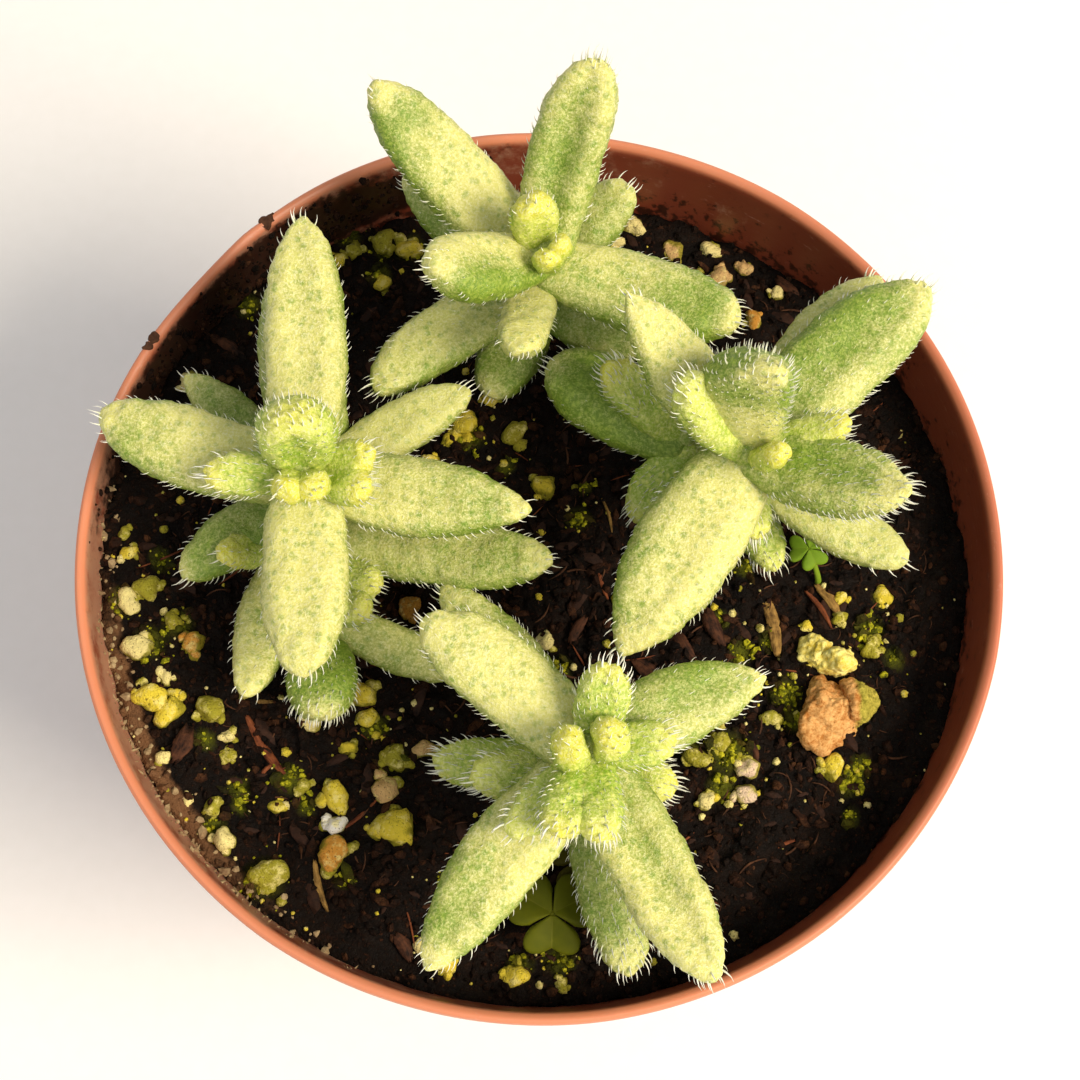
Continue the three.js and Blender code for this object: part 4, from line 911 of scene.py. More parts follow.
def stems_of(plan):
    """A plantlet's stems, each as its foot, its tip and its radius: the main one first."""
    x, y = plan["foot"]
    ground = float(soil_height(x, y))
    main = (from_rim([x, y, ground + STEM_UPRIGHT]), from_rim(plan["top"]), STEM_RADIUS)
    return [main] + [(from_rim(a), from_rim(b), BRANCH_RADIUS) for a, b in plan["branches"]]


def leaf_on(stems, stem, at, tip, width, point=YOUNG_POINT, bow=0, crown=YOUNG_CROWN):
    """A leaf's own frame: its root in the stem, its length, and its forward, side and up directions."""
    foot, top, radius = stems[stem]
    seat = foot + (top - foot) * at
    end = from_rim(tip)
    outward = (end - seat) * [1, 1, 0]
    outward /= np.linalg.norm(outward)
    root = seat + outward * LEAF_SEAT * radius
    length = np.linalg.norm(end - root)
    forward = (end - root) / length
    side = np.array([-outward[1], outward[0], 0])
    return {"root": root, "length": length, "width": width, "heel": radius * 0.8, "point": point,
            "bow": bow, "crown": crown, "forward": forward, "side": side, "up": np.cross(forward, side)}


def between(blunt, pointed, leaf):
    return blunt + (pointed - blunt) * leaf["point"]


def swell(leaf, t):
    """How full a leaf is along its length: a neck at the stem, a long belly, a tip from blunt to pointed."""
    shoulder = between(LEAF_SHOULDER, POINTED_SHOULDER, leaf)
    bluntness = between(LEAF_BLUNTNESS, POINTED_BLUNTNESS, leaf)
    roundness = between(LEAF_ROUNDNESS, POINTED_ROUNDNESS, leaf)
    neck = LEAF_NECK + (1 - LEAF_NECK) * np.sin(math.pi / 2 * np.minimum(t / shoulder, 1))
    past = np.maximum(0, (t - shoulder) / (1 - shoulder))
    return neck * np.maximum(0, 1 - past ** bluntness) ** roundness


def leaf_middle(leaf, t):
    """The middle of a leaf, t from 0 at its root to 1 at its tip: it sags and bows between the two."""
    t = np.asarray(t, float)[..., None]
    bend = leaf["side"] * leaf["bow"] - leaf["up"] * LEAF_SAG
    return leaf["root"] + leaf["length"] * (leaf["forward"] * t + bend * 4 * t * (1 - t))


def leaf_balls(leaf):
    """Balls that fill a leaf, by which its neighbours know where they are hidden."""
    t = np.arange(0.05, 1, 0.1)
    return np.column_stack([leaf_middle(leaf, t), leaf["width"] / 2 * swell(leaf, t)])


def squared(value):
    return np.sign(value) * np.abs(value) ** LEAF_SQUARENESS


def leaf_skin(leaf, cream, fade, bristly, channel, lean, yellow, dull, young):
    """A leaf's closed skin, with what its finish needs to know about each point."""
    step = YOUNG_SKIN_STEP if young else SKIN_STEP
    along = max(14, round(leaf["length"] / step))
    sides = 2 * max(9, round(1.25 * leaf["width"] / step))
    heel = np.linspace(0, math.pi / 2, 5)[1:]
    blade = np.sin(math.pi / 2 * np.linspace(0, 1, along + 1)[:-1])
    t = np.concatenate([np.zeros(len(heel) - 1), blade])
    set_back = np.concatenate([np.cos(heel[:-1]), np.zeros(len(blade))]) * leaf["heel"]
    full = swell(leaf, t) * np.concatenate([np.sin(heel[:-1]), np.ones(len(blade))])
    angle = round_turn(sides)
    across, lift = np.cos(angle), np.sin(angle)
    rounded = squared(lift) * np.where(lift > 0, leaf["crown"], LEAF_BELLY)
    valley = np.exp(-(across / CHANNEL_WIDTH) ** 2) * (lift > 0)
    window = np.sin(math.pi * np.clip(t, 0, 0.97)) ** 0.6
    height = full[:, None] * (rounded - CHANNEL_DEPTH * channel * window[:, None] * valley)
    width = leaf["width"]
    centre = leaf_middle(leaf, t) - leaf["forward"] * set_back[:, None]
    rings = (centre[:, None, :]
             + leaf["side"] * (width / 2 * full[:, None] * squared(across))[..., None]
             + leaf["up"] * (width * height)[..., None])
    points, faces = closed_skin(
        leaf["root"] - leaf["forward"] * leaf["heel"], rings, leaf_middle(leaf, 1.0))

    t_all = np.concatenate([[0], np.repeat(t, sides), [1]])
    lift_all = np.concatenate([[0], np.tile(lift, len(t)), [0]])
    # The left side is made greener: partly a green margin, partly painted shade on the side away from the
    # key lamp
    left = lean * np.concatenate([[0], np.tile(across, len(t)), [0]])
    valley_all = np.concatenate([[0], (window[:, None] * valley).ravel(), [0]])
    # Bristles stand along the edges and at the tip, and on a furred leaf all over
    furred = min(max(bristly - 0.4 + 0.5 * young, 0), 1)
    tip_start = 0.8 - 0.12 * furred
    tip = np.clip((t_all - tip_start) / (1 - tip_start), 0, 1)
    end = np.clip((t_all - 0.4) / 0.5, 0, 1)
    top = np.clip((lift_all + 0.18) / 0.95, 0, 1)
    stand = np.maximum(np.exp(-(lift_all / 0.3) ** 2), np.clip((t_all - 0.92) / 0.05, 0, 1))
    stand = np.maximum(stand * min(0.6 + bristly, 1), furred)
    carried = {
        "cream": (cream - 0.3 * channel * valley_all - left) * (0.25 + 0.75 * top)
        - fade * end * (1 - tip ** 2) + 0.8 * tip ** 2,
        "yellow": yellow * (0.5 * young + tip ** 1.5),
        "dull": np.full(len(points), dull),
        "young": np.full(len(points), young),
        "bristly": (0.07 + 0.93 * stand ** 1.5) * np.clip((t_all - 0.1) / 0.15, 0, 1),
        "reach": (0.5 + 0.5 * stand) * (0.85 + 0.55 * tip) * (1 + 0.12 * furred),
        "relief": np.clip((t_all - 0.02) / 0.1, 0, 1),
        "forward": np.tile(leaf["forward"], (len(points), 1)),
    }
    return points, faces, carried


def stem_skin(foot, top, radius, buried):
    """A stem: a round, slightly knotted rod from under the soil to a domed tip."""
    path = [foot + (top - foot) * share for share in np.linspace(0, 1, STEM_RINGS)]
    if buried:
        path = [foot - [0, 0, STEM_DEPTH + STEM_UPRIGHT]] + path
    path = np.array(path)
    reach = np.full(len(path), radius) * (1 + STEM_KNOTS * np.sin(np.arange(len(path)) * 1.9))
    reach[-3:] *= [0.96, 0.85, 0.6]
    angle = round_turn(STEM_SIDES)
    direction = (top - foot) / np.linalg.norm(top - foot)
    side = np.array([1.0, 0, 0]) if abs(direction[2]) > 0.9 else np.cross([0, 0, 1.0], direction)
    side /= np.linalg.norm(side)
    up = np.cross(direction, side)
    ring = np.cos(angle)[:, None] * side + np.sin(angle)[:, None] * up
    rings = path[:, None, :] + reach[:, None, None] * ring
    points, faces = closed_skin(path[0], rings, path[-1] + direction * radius / 3)
    count = len(points)
    # Stems carry a little painted shade
    carried = {
        "cream": np.full(count, 0.35), "yellow": np.zeros(count), "dull": np.full(count, 0.15),
        "young": np.full(count, 0.3), "bristly": np.full(count, 0.25), "reach": np.full(count, 0.8),
        "relief": np.ones(count), "forward": np.tile(direction, (count, 1)),
    }
    return points, faces, carried


def hide_bristles(skin, balls):
    """No bristle grows where a skin lies inside a neighbour."""
    points, faces, carried = skin
    apart = np.linalg.norm(points[:, None, :] - balls[None, :, :3], axis=2)
    inside = (apart < balls[None, :, 3] + 0.2).any(axis=1)
    carried["bristly"] = np.where(inside, 0, carried["bristly"])
    return points, faces, carried


def plantlet_pieces(name, plan, trees, finishes):
    """Makes a plantlet's leaves, its shoot and the bristles on them all."""
    stems = stems_of(plan)
    grown_leaves = [(row, leaf_on(stems, *row[1:7], LEAF_CROWN)) for row in plan["leaves"]]
    young = [(row, leaf_on(stems, *row[:4])) for row in plan["young"]]
    balls = {id(leaf): leaf_balls(leaf) for _, leaf in grown_leaves + young}
    skins = []
    for row, leaf in grown_leaves:
        low = row[0].startswith("low")
        # Low leaves carry more painted shade than the leaves above them
        skin = leaf_skin(leaf, *row[7:], 0.15, 0.2 if low else 0.05, 0)
        others = np.concatenate([balls[key] for key in balls if key != id(leaf)])
        skins.append(hide_bristles(skin, others))
        made = piece_of(f"{name}_{row[0]}_leaf", *skins[-1])
        roughen(made, trees, "leaf")
        made.data.materials.append(finishes["leaf"])
        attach(made, "root")
        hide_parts(f"{name}_leaf_{row[0]}")
    shoot = [stem_skin(*stem, k == 0) for k, stem in enumerate(stems)]
    for row, leaf in young:
        skin = leaf_skin(leaf, row[4], -0.2, row[5], row[7], 0, row[6], 0, 1)
        others = np.concatenate([balls[key] for key in balls if key != id(leaf)])
        shoot.append(hide_bristles(skin, others))
    made = piece_of(f"{name}_stems_and_young_leaves", *joined(shoot))
    roughen(made, trees, "shoot")
    made.data.materials.append(finishes["leaf"])
    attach(made, "root")
    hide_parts(f"{name}_shoot")
    base = piece_of(f"{name}_bristle_ground", *joined(skins + shoot))
    hairs = grown(base, trees["bristles"], name=f"{name}_bristles", density=BRISTLE_DENSITY,
                  spacing=BRISTLE_SPACING * MM, length=BRISTLE_LENGTH * MM,
                  radius=BRISTLE_RADIUS * MM, seed=len(name), material=finishes["bristle"])
    bpy.data.objects.remove(base)
    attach(hairs, "root")


def pot_piece(finishes):
    """The pot: a turned skin with a softly rounded lip, a slightly uneven rim, and eight drain slots."""
    band_foot = POT_HEIGHT - BAND_HEIGHT
    ledge = band_foot - LEDGE_DROP
    inner = BAND_INNER_RADIUS - LEDGE_STEP
    rim = RIM_RADIUS
    stretches = [
        ([0, 0], 1, 0), ([FOOT_RADIUS - FOOT_EDGE, 0], 6, 0), ([FOOT_RADIUS - 0.25, 0.25], 2, 0),
        ([FOOT_RADIUS, FOOT_EDGE], 2, 0), ([inner + WALL, ledge], 14, 0),
        ([BAND_OUTER_RADIUS, band_foot], 3, 0), ([rim - 0.3, POT_HEIGHT - 2 * LIP_DROP], 6, 0),
        ([rim - 0.04, POT_HEIGHT - 1.7], 2, 0), ([rim, POT_HEIGHT - LIP_DROP], 2, 0),
        ([rim, POT_HEIGHT - 0.6], 2, 0), ([rim - 0.1, POT_HEIGHT - 0.2], 2, 0),
        ([rim - LIP_WIDTH / 3, POT_HEIGHT], 4, 0), ([rim - LIP_WIDTH + 0.2, POT_HEIGHT - 0.35], 2, 0),
        ([rim - LIP_WIDTH, POT_HEIGHT - 0.75], 2, 1), ([BAND_INNER_RADIUS, band_foot], 14, 1),
        ([inner, ledge], 2, 1), ([FOOT_RADIUS - WALL, FLOOR + FOOT_EDGE], 8, 1),
        ([FOOT_RADIUS - WALL - FOOT_EDGE, FLOOR], 2, 1), ([0, FLOOR], 6, 1),
    ]
    outline, inside = [], []
    for (start, _, was), (end, steps, now) in zip(stretches, stretches[1:]):
        for k in range(steps):
            share = k / steps
            outline.append([a + (b - a) * share for a, b in zip(start, end)])
            inside.append(was + (now - was) * share)
    outline = np.array(outline[1:])
    inside = np.array(inside[1:])
    angle = round_turn(POT_SIDES)
    radius, height = outline[:, :1], outline[:, 1:]
    high = np.clip((height - 50) / 26, 0, 1) ** 2
    wave = sum(size * np.sin(times * angle + start) for size, times, start in RIM_WAVES)
    dent = sum(depth * np.exp(-((angle - place) / reach) ** 2) for depth, place, reach in RIM_DENTS)
    out = radius - high * np.abs(wave + dent) * 0.6
    rise = height - high * (0.12 + 0.12 * np.sin(5 * angle + 1) + 0.5 * np.clip(dent, 0, 1))
    rings = np.stack([out * np.cos(angle), out * np.sin(angle), rise + 0 * angle], axis=2)
    points, faces = closed_skin([0, 0, 0], rings, [0, 0, FLOOR])
    within = np.concatenate([[0], np.repeat(inside, POT_SIDES), [1]])
    # Dirt starts just above the soil: clods cling up to the lip, and the crust stops lower
    started = within * np.clip((points[:, 2] - POT_HEIGHT + SOIL_DROP + 1) / 1.5, 0, 1)
    to_lip = np.clip((POT_HEIGHT - 0.3 - points[:, 2]) / 4, 0, 1)
    lower = np.clip((POT_HEIGHT - 2.6 - points[:, 2]) / 2, 0, 1)
    carried = {
        "inside": within,
        "clods": started * to_lip * near_turn(points, CLOD_TURN, CLOD_REACH),
        "crust": started * lower * near_turn(points, CRUST_TURN, CRUST_REACH),
    }
    made = piece_of("moulded_pot", points, faces, carried)
    made.data.materials.append(finishes["pot"])
    cutter = drain_cutter()
    slots = made.modifiers.new("drains", "BOOLEAN")
    slots.object = cutter
    slots.operation = "DIFFERENCE"
    slots.solver = "EXACT"
    made.data = as_mesh(made)
    made.modifiers.remove(slots)
    bpy.data.objects.remove(cutter)
    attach(made, "root")
    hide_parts("pot")
    return made


def drain_cutter():
    """Eight slots with round ends through the pot's floor."""
    shape = bmesh.new()
    half, end = DRAIN_LENGTH / 2 - DRAIN_WIDTH / 2, DRAIN_WIDTH / 2
    for turn in round_turn(DRAIN_COUNT, 0.5):
        ring = []
        for angle in round_turn(DRAIN_SIDES, 0.5):
            x = DRAIN_RADIUS + math.copysign(half, math.cos(angle)) + end * math.cos(angle)
            y = end * math.sin(angle)
            ring.append((x * math.cos(turn) - y * math.sin(turn), x * math.sin(turn) + y * math.cos(turn)))
        low = [shape.verts.new((x * MM, y * MM, -FLOOR * MM)) for x, y in ring]
        high = [shape.verts.new((x * MM, y * MM, 2 * FLOOR * MM)) for x, y in ring]
        shape.faces.new(list(reversed(low)))
        shape.faces.new(high)
        for i in range(DRAIN_SIDES):
            j = (i + 1) % DRAIN_SIDES
            shape.faces.new((low[i], low[j], high[j], high[i]))
    return shaped("drain_cutter", shape)


def band_inside(height):
    lip = RIM_RADIUS - LIP_WIDTH
    return lip + (BAND_INNER_RADIUS - lip) * -height / BAND_HEIGHT


def near_turn(points, degrees, reach):
    """How near points are to a direction round the pot: 1 there, 0 beyond its reach."""
    turn = np.degrees(np.arctan2(points[:, 1], points[:, 0])) % 360
    return np.clip(1.3 * (1 - np.abs(turn - degrees) / reach), 0, 1)


def soil_piece(trees, finishes):
    """The soil: a body that fills the pot under a crumbly surface."""
    wall_top = POT_HEIGHT - BAND_HEIGHT - LEDGE_DROP
    inner = BAND_INNER_RADIUS - LEDGE_STEP
    below = [
        [FOOT_RADIUS - WALL - FOOT_EDGE - GAP, FLOOR + GAP],
        [FOOT_RADIUS - WALL - GAP, FLOOR + FOOT_EDGE + GAP],
        [inner - GAP, wall_top], [BAND_INNER_RADIUS - GAP, wall_top + LEDGE_DROP + GAP],
    ]
    angle = round_turn(SOIL_SIDES)
    circle = np.stack([np.cos(angle), np.sin(angle)], axis=1)
    low = [np.column_stack([radius * circle, np.full(SOIL_SIDES, height)]) for radius, height in below]
    edge_height = soil_height(*(circle * BAND_INNER_RADIUS).T)
    edge = circle * (band_inside(edge_height) - GAP)[:, None]
    rings = []
    for share in np.linspace(1, 0, SOIL_RINGS + 1)[:-1]:
        spot = edge * share
        rings.append(np.column_stack([spot, POT_HEIGHT + soil_height(*spot.T)]))
    points, faces = closed_skin(
        [0, 0, FLOOR + GAP], np.array(low + rings), from_rim([0, 0, soil_height(0, 0)]))
    top = np.concatenate([[0], np.zeros(len(low) * SOIL_SIDES), np.ones(len(rings) * SOIL_SIDES), [1]])

    def mossy(spread):
        return top * np.clip(sum(
            np.exp(-((points[:, 0] - x) ** 2 + (points[:, 1] - y) ** 2) / (spread * radius) ** 2)
            for x, y, radius in MOSS), 0, 1)

    moss = mossy(1)
    algal = np.maximum(ALGAE_LEAST * top, mossy(ALGAE_SPREAD))
    away = np.hypot(points[:, 0], points[:, 1])
    outermost = np.clip((away - EDGE_CRUST_FROM) / EDGE_CRUST_FADE, 0, 1)
    crust = top * outermost * near_turn(points, CRUST_TURN, CRUST_REACH)
    # Long bits lie further in than crumbs, so that none of them sticks through the pot
    middle = top * np.clip(MIDDLE_REACH - away, 0, 1)
    carried = {"relief": top, "room": top, "middle": middle, "moss": moss, "algal": algal, "crust": crust}
    made = piece_of("soil_bed", points, faces, carried)
    roughen(made, trees, "soil_clods", "soil_crumbs")
    made.data.materials.append(finishes["soil"])
    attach(made, "root")
    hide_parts("soil")
    return made


def lump_shape(name, size, seed, smooth):
    """A small body for strewing, about one millimetre across: a round lump, or an angular crumb."""
    shape = bmesh.new()
    if smooth:
        bmesh.ops.create_cube(shape, size=1)
        bmesh.ops.subdivide_edges(shape, edges=shape.edges[:], cuts=1, use_grid_fill=True)
    else:
        bmesh.ops.create_icosphere(shape, subdivisions=1, radius=0.5)
    draw = np.random.default_rng(seed)
    for vert in shape.verts:
        spot = vert.co.normalized() / 2
        vert.co = Vector(c * s for c, s in zip(spot, size)) * float(draw.uniform(0.7, 1.15))
    made = shaped(name, shape)
    shade(made.data, smooth)
    return made


def fibre_shape(name, length, width, bend):
    """A thin bent fibre or needle with pointed ends, lying along X."""
    steps, sides = 5, 4
    share = np.linspace(0, 1, steps + 2)[1:-1]
    middle = np.column_stack([
        length * (share - 0.5), bend * np.sin(math.pi * share), 0.12 * length * share * (1 - share)])
    reach = width / 2 * np.sqrt(np.sin(math.pi * share))
    angle = round_turn(sides)
    ring = np.column_stack([np.zeros(sides), np.cos(angle), 0.5 * np.sin(angle)])
    rings = middle[:, None, :] + reach[:, None, None] * ring
    points, faces = closed_skin([-length / 2, 0, 0], rings, [length / 2, 0, 0])
    return piece_of(name, points / MM, faces)


def strewn_pieces(ground, wall, trees, finishes):
    """What lies loose: crumbs, bark, fibres, algae grains and moss, and what clings to the pot's wall."""
    shapes = {
        "crumb": lump_shape("crumb_shape", [1.15, 0.85, 0.75], 3, False),
        "shard": lump_shape("shard_shape", [1.6, 0.6, 0.35], 8, False),
        "grain": lump_shape("grain_shape", [1, 0.9, 0.8], 4, True),
        "fibre": fibre_shape("fibre_shape", 1, 0.07, 0.14),
        "needle": fibre_shape("needle_shape", 1, 0.05, 0.03),
    }
    under = {"ground": ground, "wall": wall}
    for name, base, shape, where, density, spacing, small, large, flat, seed, kinds, finish in STREWN:
        bits = grown(under[base], trees["scatter"], name=name, shape=shapes[shape], where=where,
                     density=density, spacing=spacing * MM, smallest=small * MM, largest=large * MM,
                     lie_flat=flat, seed=seed, kinds=kinds, material=finishes[finish])
        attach(bits, "root")
    for shape in shapes.values():
        bpy.data.objects.remove(shape)


def broken_stone(draw, cuts):
    """The shape of a broken stone: how far it reaches in any direction, between worn flat faces."""
    faces = draw.normal(size=(cuts, 3))
    faces /= np.linalg.norm(faces, axis=1)[:, None]
    depth = draw.uniform(STONE_LEAST, 1, cuts)

    def reach(directions):
        facing = np.maximum(directions @ faces.T, 0) / depth
        return 1 / np.maximum((facing ** STONE_WEAR).sum(axis=1) ** (1 / STONE_WEAR), STONE_LEAST)

    return reach


def stones_piece(name, rows, trees, finish):
    """Small stones as one piece. A row says where one stands, its size, its turn and its kind."""
    shape = bmesh.new()
    kinds, algae = [], []
    draw = np.random.default_rng(19)
    for seat, size, turn, kind in rows:
        made = bmesh.ops.create_icosphere(shape, subdivisions=3, radius=1)
        unit = np.array([vert.co for vert in made["verts"]])
        unit /= np.linalg.norm(unit, axis=1)[:, None]
        grown_out = unit * broken_stone(draw, STONE_CUTS)(unit)[:, None]
        places = grown_out * np.array(size) / 2
        places = places @ spin(turn) + seat
        for vert, place in zip(made["verts"], places * MM):
            vert.co = Vector(place)
        kinds += [kind] * len(places)
        algae += list(np.clip(0.25 - grown_out[:, 2] * 0.55, -0.2, 0.6) + draw.uniform(-0.15, 0.12))
    made = shaped(name, shape)
    carry(made.data, {"kind": kinds, "algae": algae, "relief": np.ones(len(kinds))})
    shade(made.data, True)
    roughen(made, trees, "grit")
    made.data.materials.append(finish)
    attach(made, "root")
    return made


def drawn_in(x, y, width):
    """A stone's place, moved in where its width would reach into the pot's wall."""
    room = BAND_INNER_RADIUS - GAP - 0.6 * width
    share = min(1, room / math.hypot(x, y))
    return x * share, y * share


def grit_piece(trees, finishes):
    """The larger grains: broken, pitted stones set into the soil, each with two small ones stuck to it."""
    draw = np.random.default_rng(7)
    rows = []
    for colour, x, y, width in GRIT:
        kind = (GRIT_COLOURS.index(colour) + 0.5) / len(GRIT_COLOURS)
        x, y = drawn_in(x, y, width)
        height = POT_HEIGHT + float(soil_height(x, y)) + 0.3 * width
        size = width * np.array([1.04, draw.uniform(0.75, 0.95), draw.uniform(0.65, 0.85)])
        rows.append([[x, y, height], size, draw.uniform(0, 2 * math.pi), kind])
        for _ in range(2):
            turn, small = draw.uniform(0, 2 * math.pi), width * draw.uniform(0.3, 0.55)
            beside = x + 0.5 * width * math.cos(turn), y + 0.5 * width * math.sin(turn)
            seat = [*drawn_in(*beside, small), height - 0.1 * width]
            stained = kind if draw.uniform() < 0.5 else 2.5 / len(GRIT_COLOURS)
            rows.append([seat, small * draw.uniform(0.8, 1.1, 3), turn, stained])
    return stones_piece("grit_stones", rows, trees, finishes["grit"])


def mud_piece(trees, finishes):
    """Dried mud on the back left of the lip, where the pot was gripped."""
    rows = []
    for degrees, width in MUD:
        turn = math.radians(degrees)
        away = RIM_RADIUS - LIP_WIDTH / 2
        seat = [away * math.cos(turn), away * math.sin(turn), POT_HEIGHT - 0.3]
        rows.append([seat, [0.9, width, 0.36], -turn, 0.9])
    return stones_piece("dried_mud", rows, trees, finishes["mud"])


def sliver_skin(row, draw):
    """A flat, streaky splinter with ragged ends that lies on the soil, thicker along its middle."""
    _, x0, y0, x1, y1, width, thick = row
    share = np.linspace(0, 1, SLIVER_RINGS)
    path = np.column_stack([x0 + (x1 - x0) * share, y0 + (y1 - y0) * share])
    length = math.hypot(x1 - x0, y1 - y0)
    forward = np.array([x1 - x0, y1 - y0, 0]) / length
    side = np.array([-forward[1], forward[0], 0])
    bend = SLIVER_BEND * length * np.sin(math.pi * share) * draw.choice([-1, 1])
    ground = POT_HEIGHT + soil_height(*path.T) + thick * 0.35 + SLIVER_CLEAR
    middle = np.column_stack([path, ground]) + bend[:, None] * side
    angle = round_turn(SLIVER_SIDES)
    ragged = (draw.uniform(0.8, 1.1, (1, SLIVER_SIDES))
              * draw.uniform(0.9, 1.08, (SLIVER_RINGS, SLIVER_SIDES)))
    taper = np.sqrt(np.clip(np.sin(math.pi * (0.06 + 0.9 * share)), 0, 1))[:, None]
    across = width / 2 * np.cos(angle) * ragged * taper
    lift = thick / 2 * np.sin(angle) * ragged * taper
    slip = draw.uniform(-0.3, 0.3, SLIVER_SIDES) * width * (np.abs(share - 0.5) * 2)[:, None] ** 4
    rings = (middle[:, None, :] + across[..., None] * side + lift[..., None] * [0, 0, 1]
             + slip[..., None] * forward)
    points, faces = closed_skin(middle[0], rings, middle[-1])
    carried = {
        "along": np.concatenate([[0], np.repeat(share * length, SLIVER_SIDES), [length]]),
        "across": np.concatenate([[0], across.ravel() + 7 * draw.uniform(), [0]]),
    }
    return points, faces, carried


def sliver_pieces(finishes):
    """The bark and wood that stand out on the soil, one piece for each finish."""
    draw = np.random.default_rng(29)
    skins = {}
    for row in SLIVERS:
        skins.setdefault(row[0], []).append(sliver_skin(row, draw))
    for finish, parts in skins.items():
        made = piece_of(f"{finish}_slivers", *joined(parts))
        made.data.materials.append(finishes[finish])
        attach(made, "root")


def lobed_reach(lobes, centre, unit):
    """How far a body of several merged broken lobes reaches from its centre, in each direction."""
    low, high = np.zeros(len(unit)), np.full(len(unit), 3.0)
    for _ in range(24):
        middle = (low + high) / 2
        inside = np.zeros(len(unit), bool)
        for place, half, reach in lobes:
            apart = (centre + unit * middle[:, None] - place) / half
            away = np.linalg.norm(apart, axis=1)
            inside |= away < reach(apart / np.maximum(away, 1e-6)[:, None])
        low, high = np.where(inside, middle, low), np.where(inside, high, middle)
    return low


def pumice_piece(node, plan, trees, finishes):
    """A large stone in the room that the frame gives it: merged blocky lobes, granular and stained."""
    draw = np.random.default_rng(plan["seed"])
    lowest, highest = (np.array(corner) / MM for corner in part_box(node))
    seat, half = (lowest + highest) / 2, (highest - lowest) / 2
    lobes = [(np.array(place), np.array(size), broken_stone(draw, LOBE_CUTS))
             for place, size in plan["lobes"]]
    shape = bmesh.new()
    bmesh.ops.create_icosphere(shape, subdivisions=6, radius=1)
    unit = np.array([vert.co for vert in shape.verts])
    unit /= np.linalg.norm(unit, axis=1)[:, None]
    centre = np.array(plan["centre"])
    box = centre + unit * lobed_reach(lobes, centre, unit)[:, None]
    faces = [[vert.index for vert in face.verts] for face in shape.faces]
    shape.free()
    algae = np.clip((box[:, 0] - plan["algae_from"]) * 2.5, 0, 1) + np.clip(-0.35 - box[:, 2], 0, 1) * 1.4
    made = piece_of(f"{node}_stone", seat + box * half, faces, {"algae": algae, "relief": np.ones(len(box))})
    roughen(made, trees, "pumice_lumps", "pumice_grain")
    made.data.materials.append(finishes[plan["finish"]])
    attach(made, "root")
    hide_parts(node)
    return made


def leaflet_skin(plan, turn):
    """One heart-shaped leaflet, spread like a fan from its point at the stalk and folded along its rib."""
    rows, columns = LEAFLET_ROWS, LEAFLET_COLUMNS
    length = plan["leaflet"]
    u = np.linspace(0.05, 1, rows)[:, None]
    v = np.linspace(-1, 1, columns)[None, :]
    far = np.abs(v)
    edge = 0.8 + 0.49 * far + 0.73 * far ** 2 - 1.42 * far ** 3
    angle = CLOVER_SPREAD * v
    x = edge * u * np.cos(angle)
    y = edge * u * np.sin(angle)
    fold = 0.3 * np.abs(y) * (1 - 0.6 * u) - 0.08 * u ** 3
    top = np.stack([x, y, fold + 0 * x], axis=2).reshape(-1, 3) * length
    rim = np.sqrt(np.clip((1 - v ** 8) * (1 - u ** 12), 0.05, 1))
    thick = (CLOVER_THICKNESS / 2 * rim).reshape(-1, 1)
    points = np.concatenate([top + [0, 0, 1] * thick, top - [0, 0, 1] * thick])
    faces = []
    count = rows * columns
    for i in range(rows - 1):
        for j in range(columns - 1):
            a = i * columns + j
            quad = (a, a + columns, a + columns + 1, a + 1)
            faces.append(quad)
            faces.append(tuple(count + corner for corner in reversed(quad)))
    border = ([j for j in range(columns)] + [i * columns + columns - 1 for i in range(1, rows)]
              + [(rows - 1) * columns + j for j in range(columns - 2, -1, -1)]
              + [i * columns for i in range(rows - 2, 0, -1)])
    for a, b in zip(border, border[1:] + border[:1]):
        faces.append((a, b, count + b, count + a))
    droop = CLOVER_DROOP
    turned = points @ np.array([[math.cos(droop), 0, -math.sin(droop)], [0, 1, 0],
                                [math.sin(droop), 0, math.cos(droop)]])
    placed = turned @ spin(turn) + from_rim(plan["head"])
    rib = np.exp(-(far / 0.05) ** 2) * np.ones_like(u)
    side_ribs = 0.55 * np.clip(np.cos((u * 4 - far * 1.6) * 2 * math.pi), 0, 1) ** 8
    carried = {"rib": np.tile(np.maximum(rib, side_ribs).ravel(), 2),
               "fresh": np.full(len(points), plan["fresh"])}
    return placed, outward(placed, faces), carried


def stalk_skin(plan):
    """A clover's stalk: straight up out of the soil, then in an arc to where the leaflets meet."""
    x, y = plan["foot"]
    ground = float(soil_height(x, y))
    buried, bend, head = from_rim([[x, y, ground - CLOVER_STALK_DEPTH],
                                   [x, y, ground + CLOVER_STALK_UPRIGHT], plan["head"]])
    share = np.linspace(0, 1, STALK_RINGS)[:, None]
    pull = bend + [0, 0, STALK_ARCH]
    curve = (1 - share) ** 2 * bend + 2 * share * (1 - share) * pull + share ** 2 * head
    path = np.concatenate([[buried], curve])
    angle = round_turn(STALK_SIDES)
    ring = np.column_stack([np.cos(angle), np.sin(angle), np.zeros(STALK_SIDES)])
    reach = CLOVER_STALK_RADIUS * np.linspace(1, 0.7, len(path))
    rings = path[:, None, :] + reach[:, None, None] * ring
    points, faces = closed_skin(path[0], rings, path[-1] + [0, 0, 0.1])
    carried = {"rib": np.full(len(points), 0.8), "fresh": np.full(len(points), plan["fresh"])}
    return points, faces, carried


def clover_piece(node, finishes):
    plan = CLOVERS[node]
    turns = [math.radians(plan["turn"] + 120 * k) for k in range(3)]
    skins = [stalk_skin(plan)] + [leaflet_skin(plan, turn) for turn in turns]
    made = piece_of(f"{node}_leaf", *joined(skins))
    made.data.materials.append(finishes["clover"])
    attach(made, "root")
    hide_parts(node)
    return made


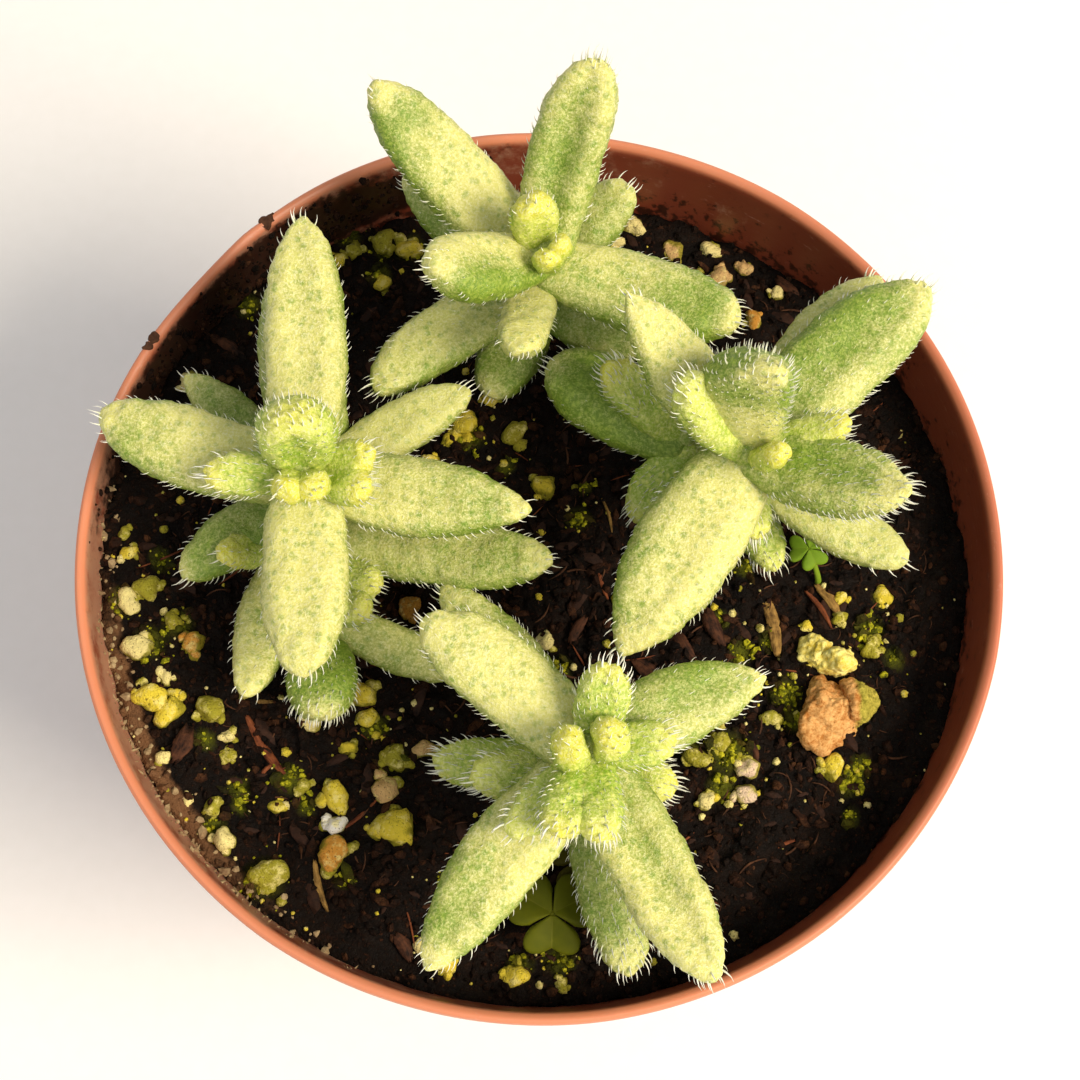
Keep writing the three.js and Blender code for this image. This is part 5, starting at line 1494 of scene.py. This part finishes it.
def aimed(name, data, place, aim):
    """A camera or lamp at a place, in metres, that looks at another."""
    made = shown(name, data)
    made.location = place
    made.rotation_mode = "QUATERNION"
    made.rotation_quaternion = (aim - Vector(place)).to_track_quat("-Z", "Y")
    return made


def camera():
    """The photo's view: from in front and high above, 180 mm from the middle of the rim."""
    lens = bpy.data.cameras.new("photo_camera")
    lens.lens = LENS
    lens.sensor_width = SENSOR
    lens.clip_start = 0.01
    bpy.context.scene.camera = aimed("photo_camera", lens, Vector(EYE) * MM, Vector(LOOKED_AT) * MM)


def lamp(name, place, size, power, colour):
    """A soft square lamp, in metres, aimed at the middle of the rim."""
    light = bpy.data.lights.new(name, "AREA")
    light.size = size
    light.energy = power
    light.color = linear(colour)[:3]
    aimed(name, light, place, Vector((0, 0, POT_HEIGHT * MM)))


def studio(finishes):
    """A pale floor, one warm soft key from the right, a weak fill and an even sky."""
    mesh = bpy.data.meshes.new("floor")
    corners = [(x * FLOOR_HALF, y * FLOOR_HALF, 0) for x, y in [(-1, -1), (1, -1), (1, 1), (-1, 1)]]
    mesh.from_pydata(corners, [], [(0, 1, 2, 3)])
    mesh.materials.append(finishes["floor"])
    floor = shown("floor", mesh)
    lamp("key", **KEY_LAMP)
    lamp("fill", **FILL_LAMP)
    world = bpy.data.worlds.new("even_sky")
    bpy.context.scene.world = world
    world.use_nodes = True
    sky = world.node_tree.nodes["Background"]
    sky.inputs["Color"].default_value = linear("#fbfaf8")
    sky.inputs["Strength"].default_value = SKY_STRENGTH
    bpy.context.scene.view_settings.view_transform = "Standard"


finishes = {
    "leaf": papillose_leaf(),
    "bristle": clear_bristle(),
    "soil": moist_soil(),
    "grit": algal_grit(),
    "mud": plant_litter("dried_mud", "#2e1a10", "#62402c"),
    "crust": plant_litter("limescale_crust", "#74563c", "#bda87e"),
    "moss": cushion_moss(),
    "pumice_yellow": stained_pumice("yellow_pumice", "#fff6a0", "#e8cd48"),
    "pumice_rust": stained_pumice("rust_pumice", "#e6b472", "#ac6c2c"),
    "pot": moulded_pot(),
    "clover": clover_blade(),
    "bark": plant_litter("weathered_bark", "#1b0f0a", "#573421"),
    "chip": plant_litter("rotted_bark_chip", "#150c08", "#3c2418"),
    "fibre": plant_litter("peat_fibre", "#26160d", "#63402a"),
    "needle": plant_litter("red_brown_needle", "#4a2114", "#8a4d2c"),
    "light_wood": plant_litter("pale_split_wood", "#4c3416", "#a98446"),
    "floor": pale_floor(),
}
trees = {"relief": relief_tree(), "bristles": bristle_tree(), "scatter": scatter_tree()}

camera()
pot = pot_piece(finishes)
ground = soil_piece(trees, finishes)
strewn_pieces(ground, pot, trees, finishes)
grit_piece(trees, finishes)
mud_piece(trees, finishes)
sliver_pieces(finishes)
for node, plan in PUMICE.items():
    pumice_piece(node, plan, trees, finishes)
for node in CLOVERS:
    clover_piece(node, finishes)
for name, plan in PLANTLETS.items():
    plantlet_pieces(name, plan, trees, finishes)
studio(finishes)
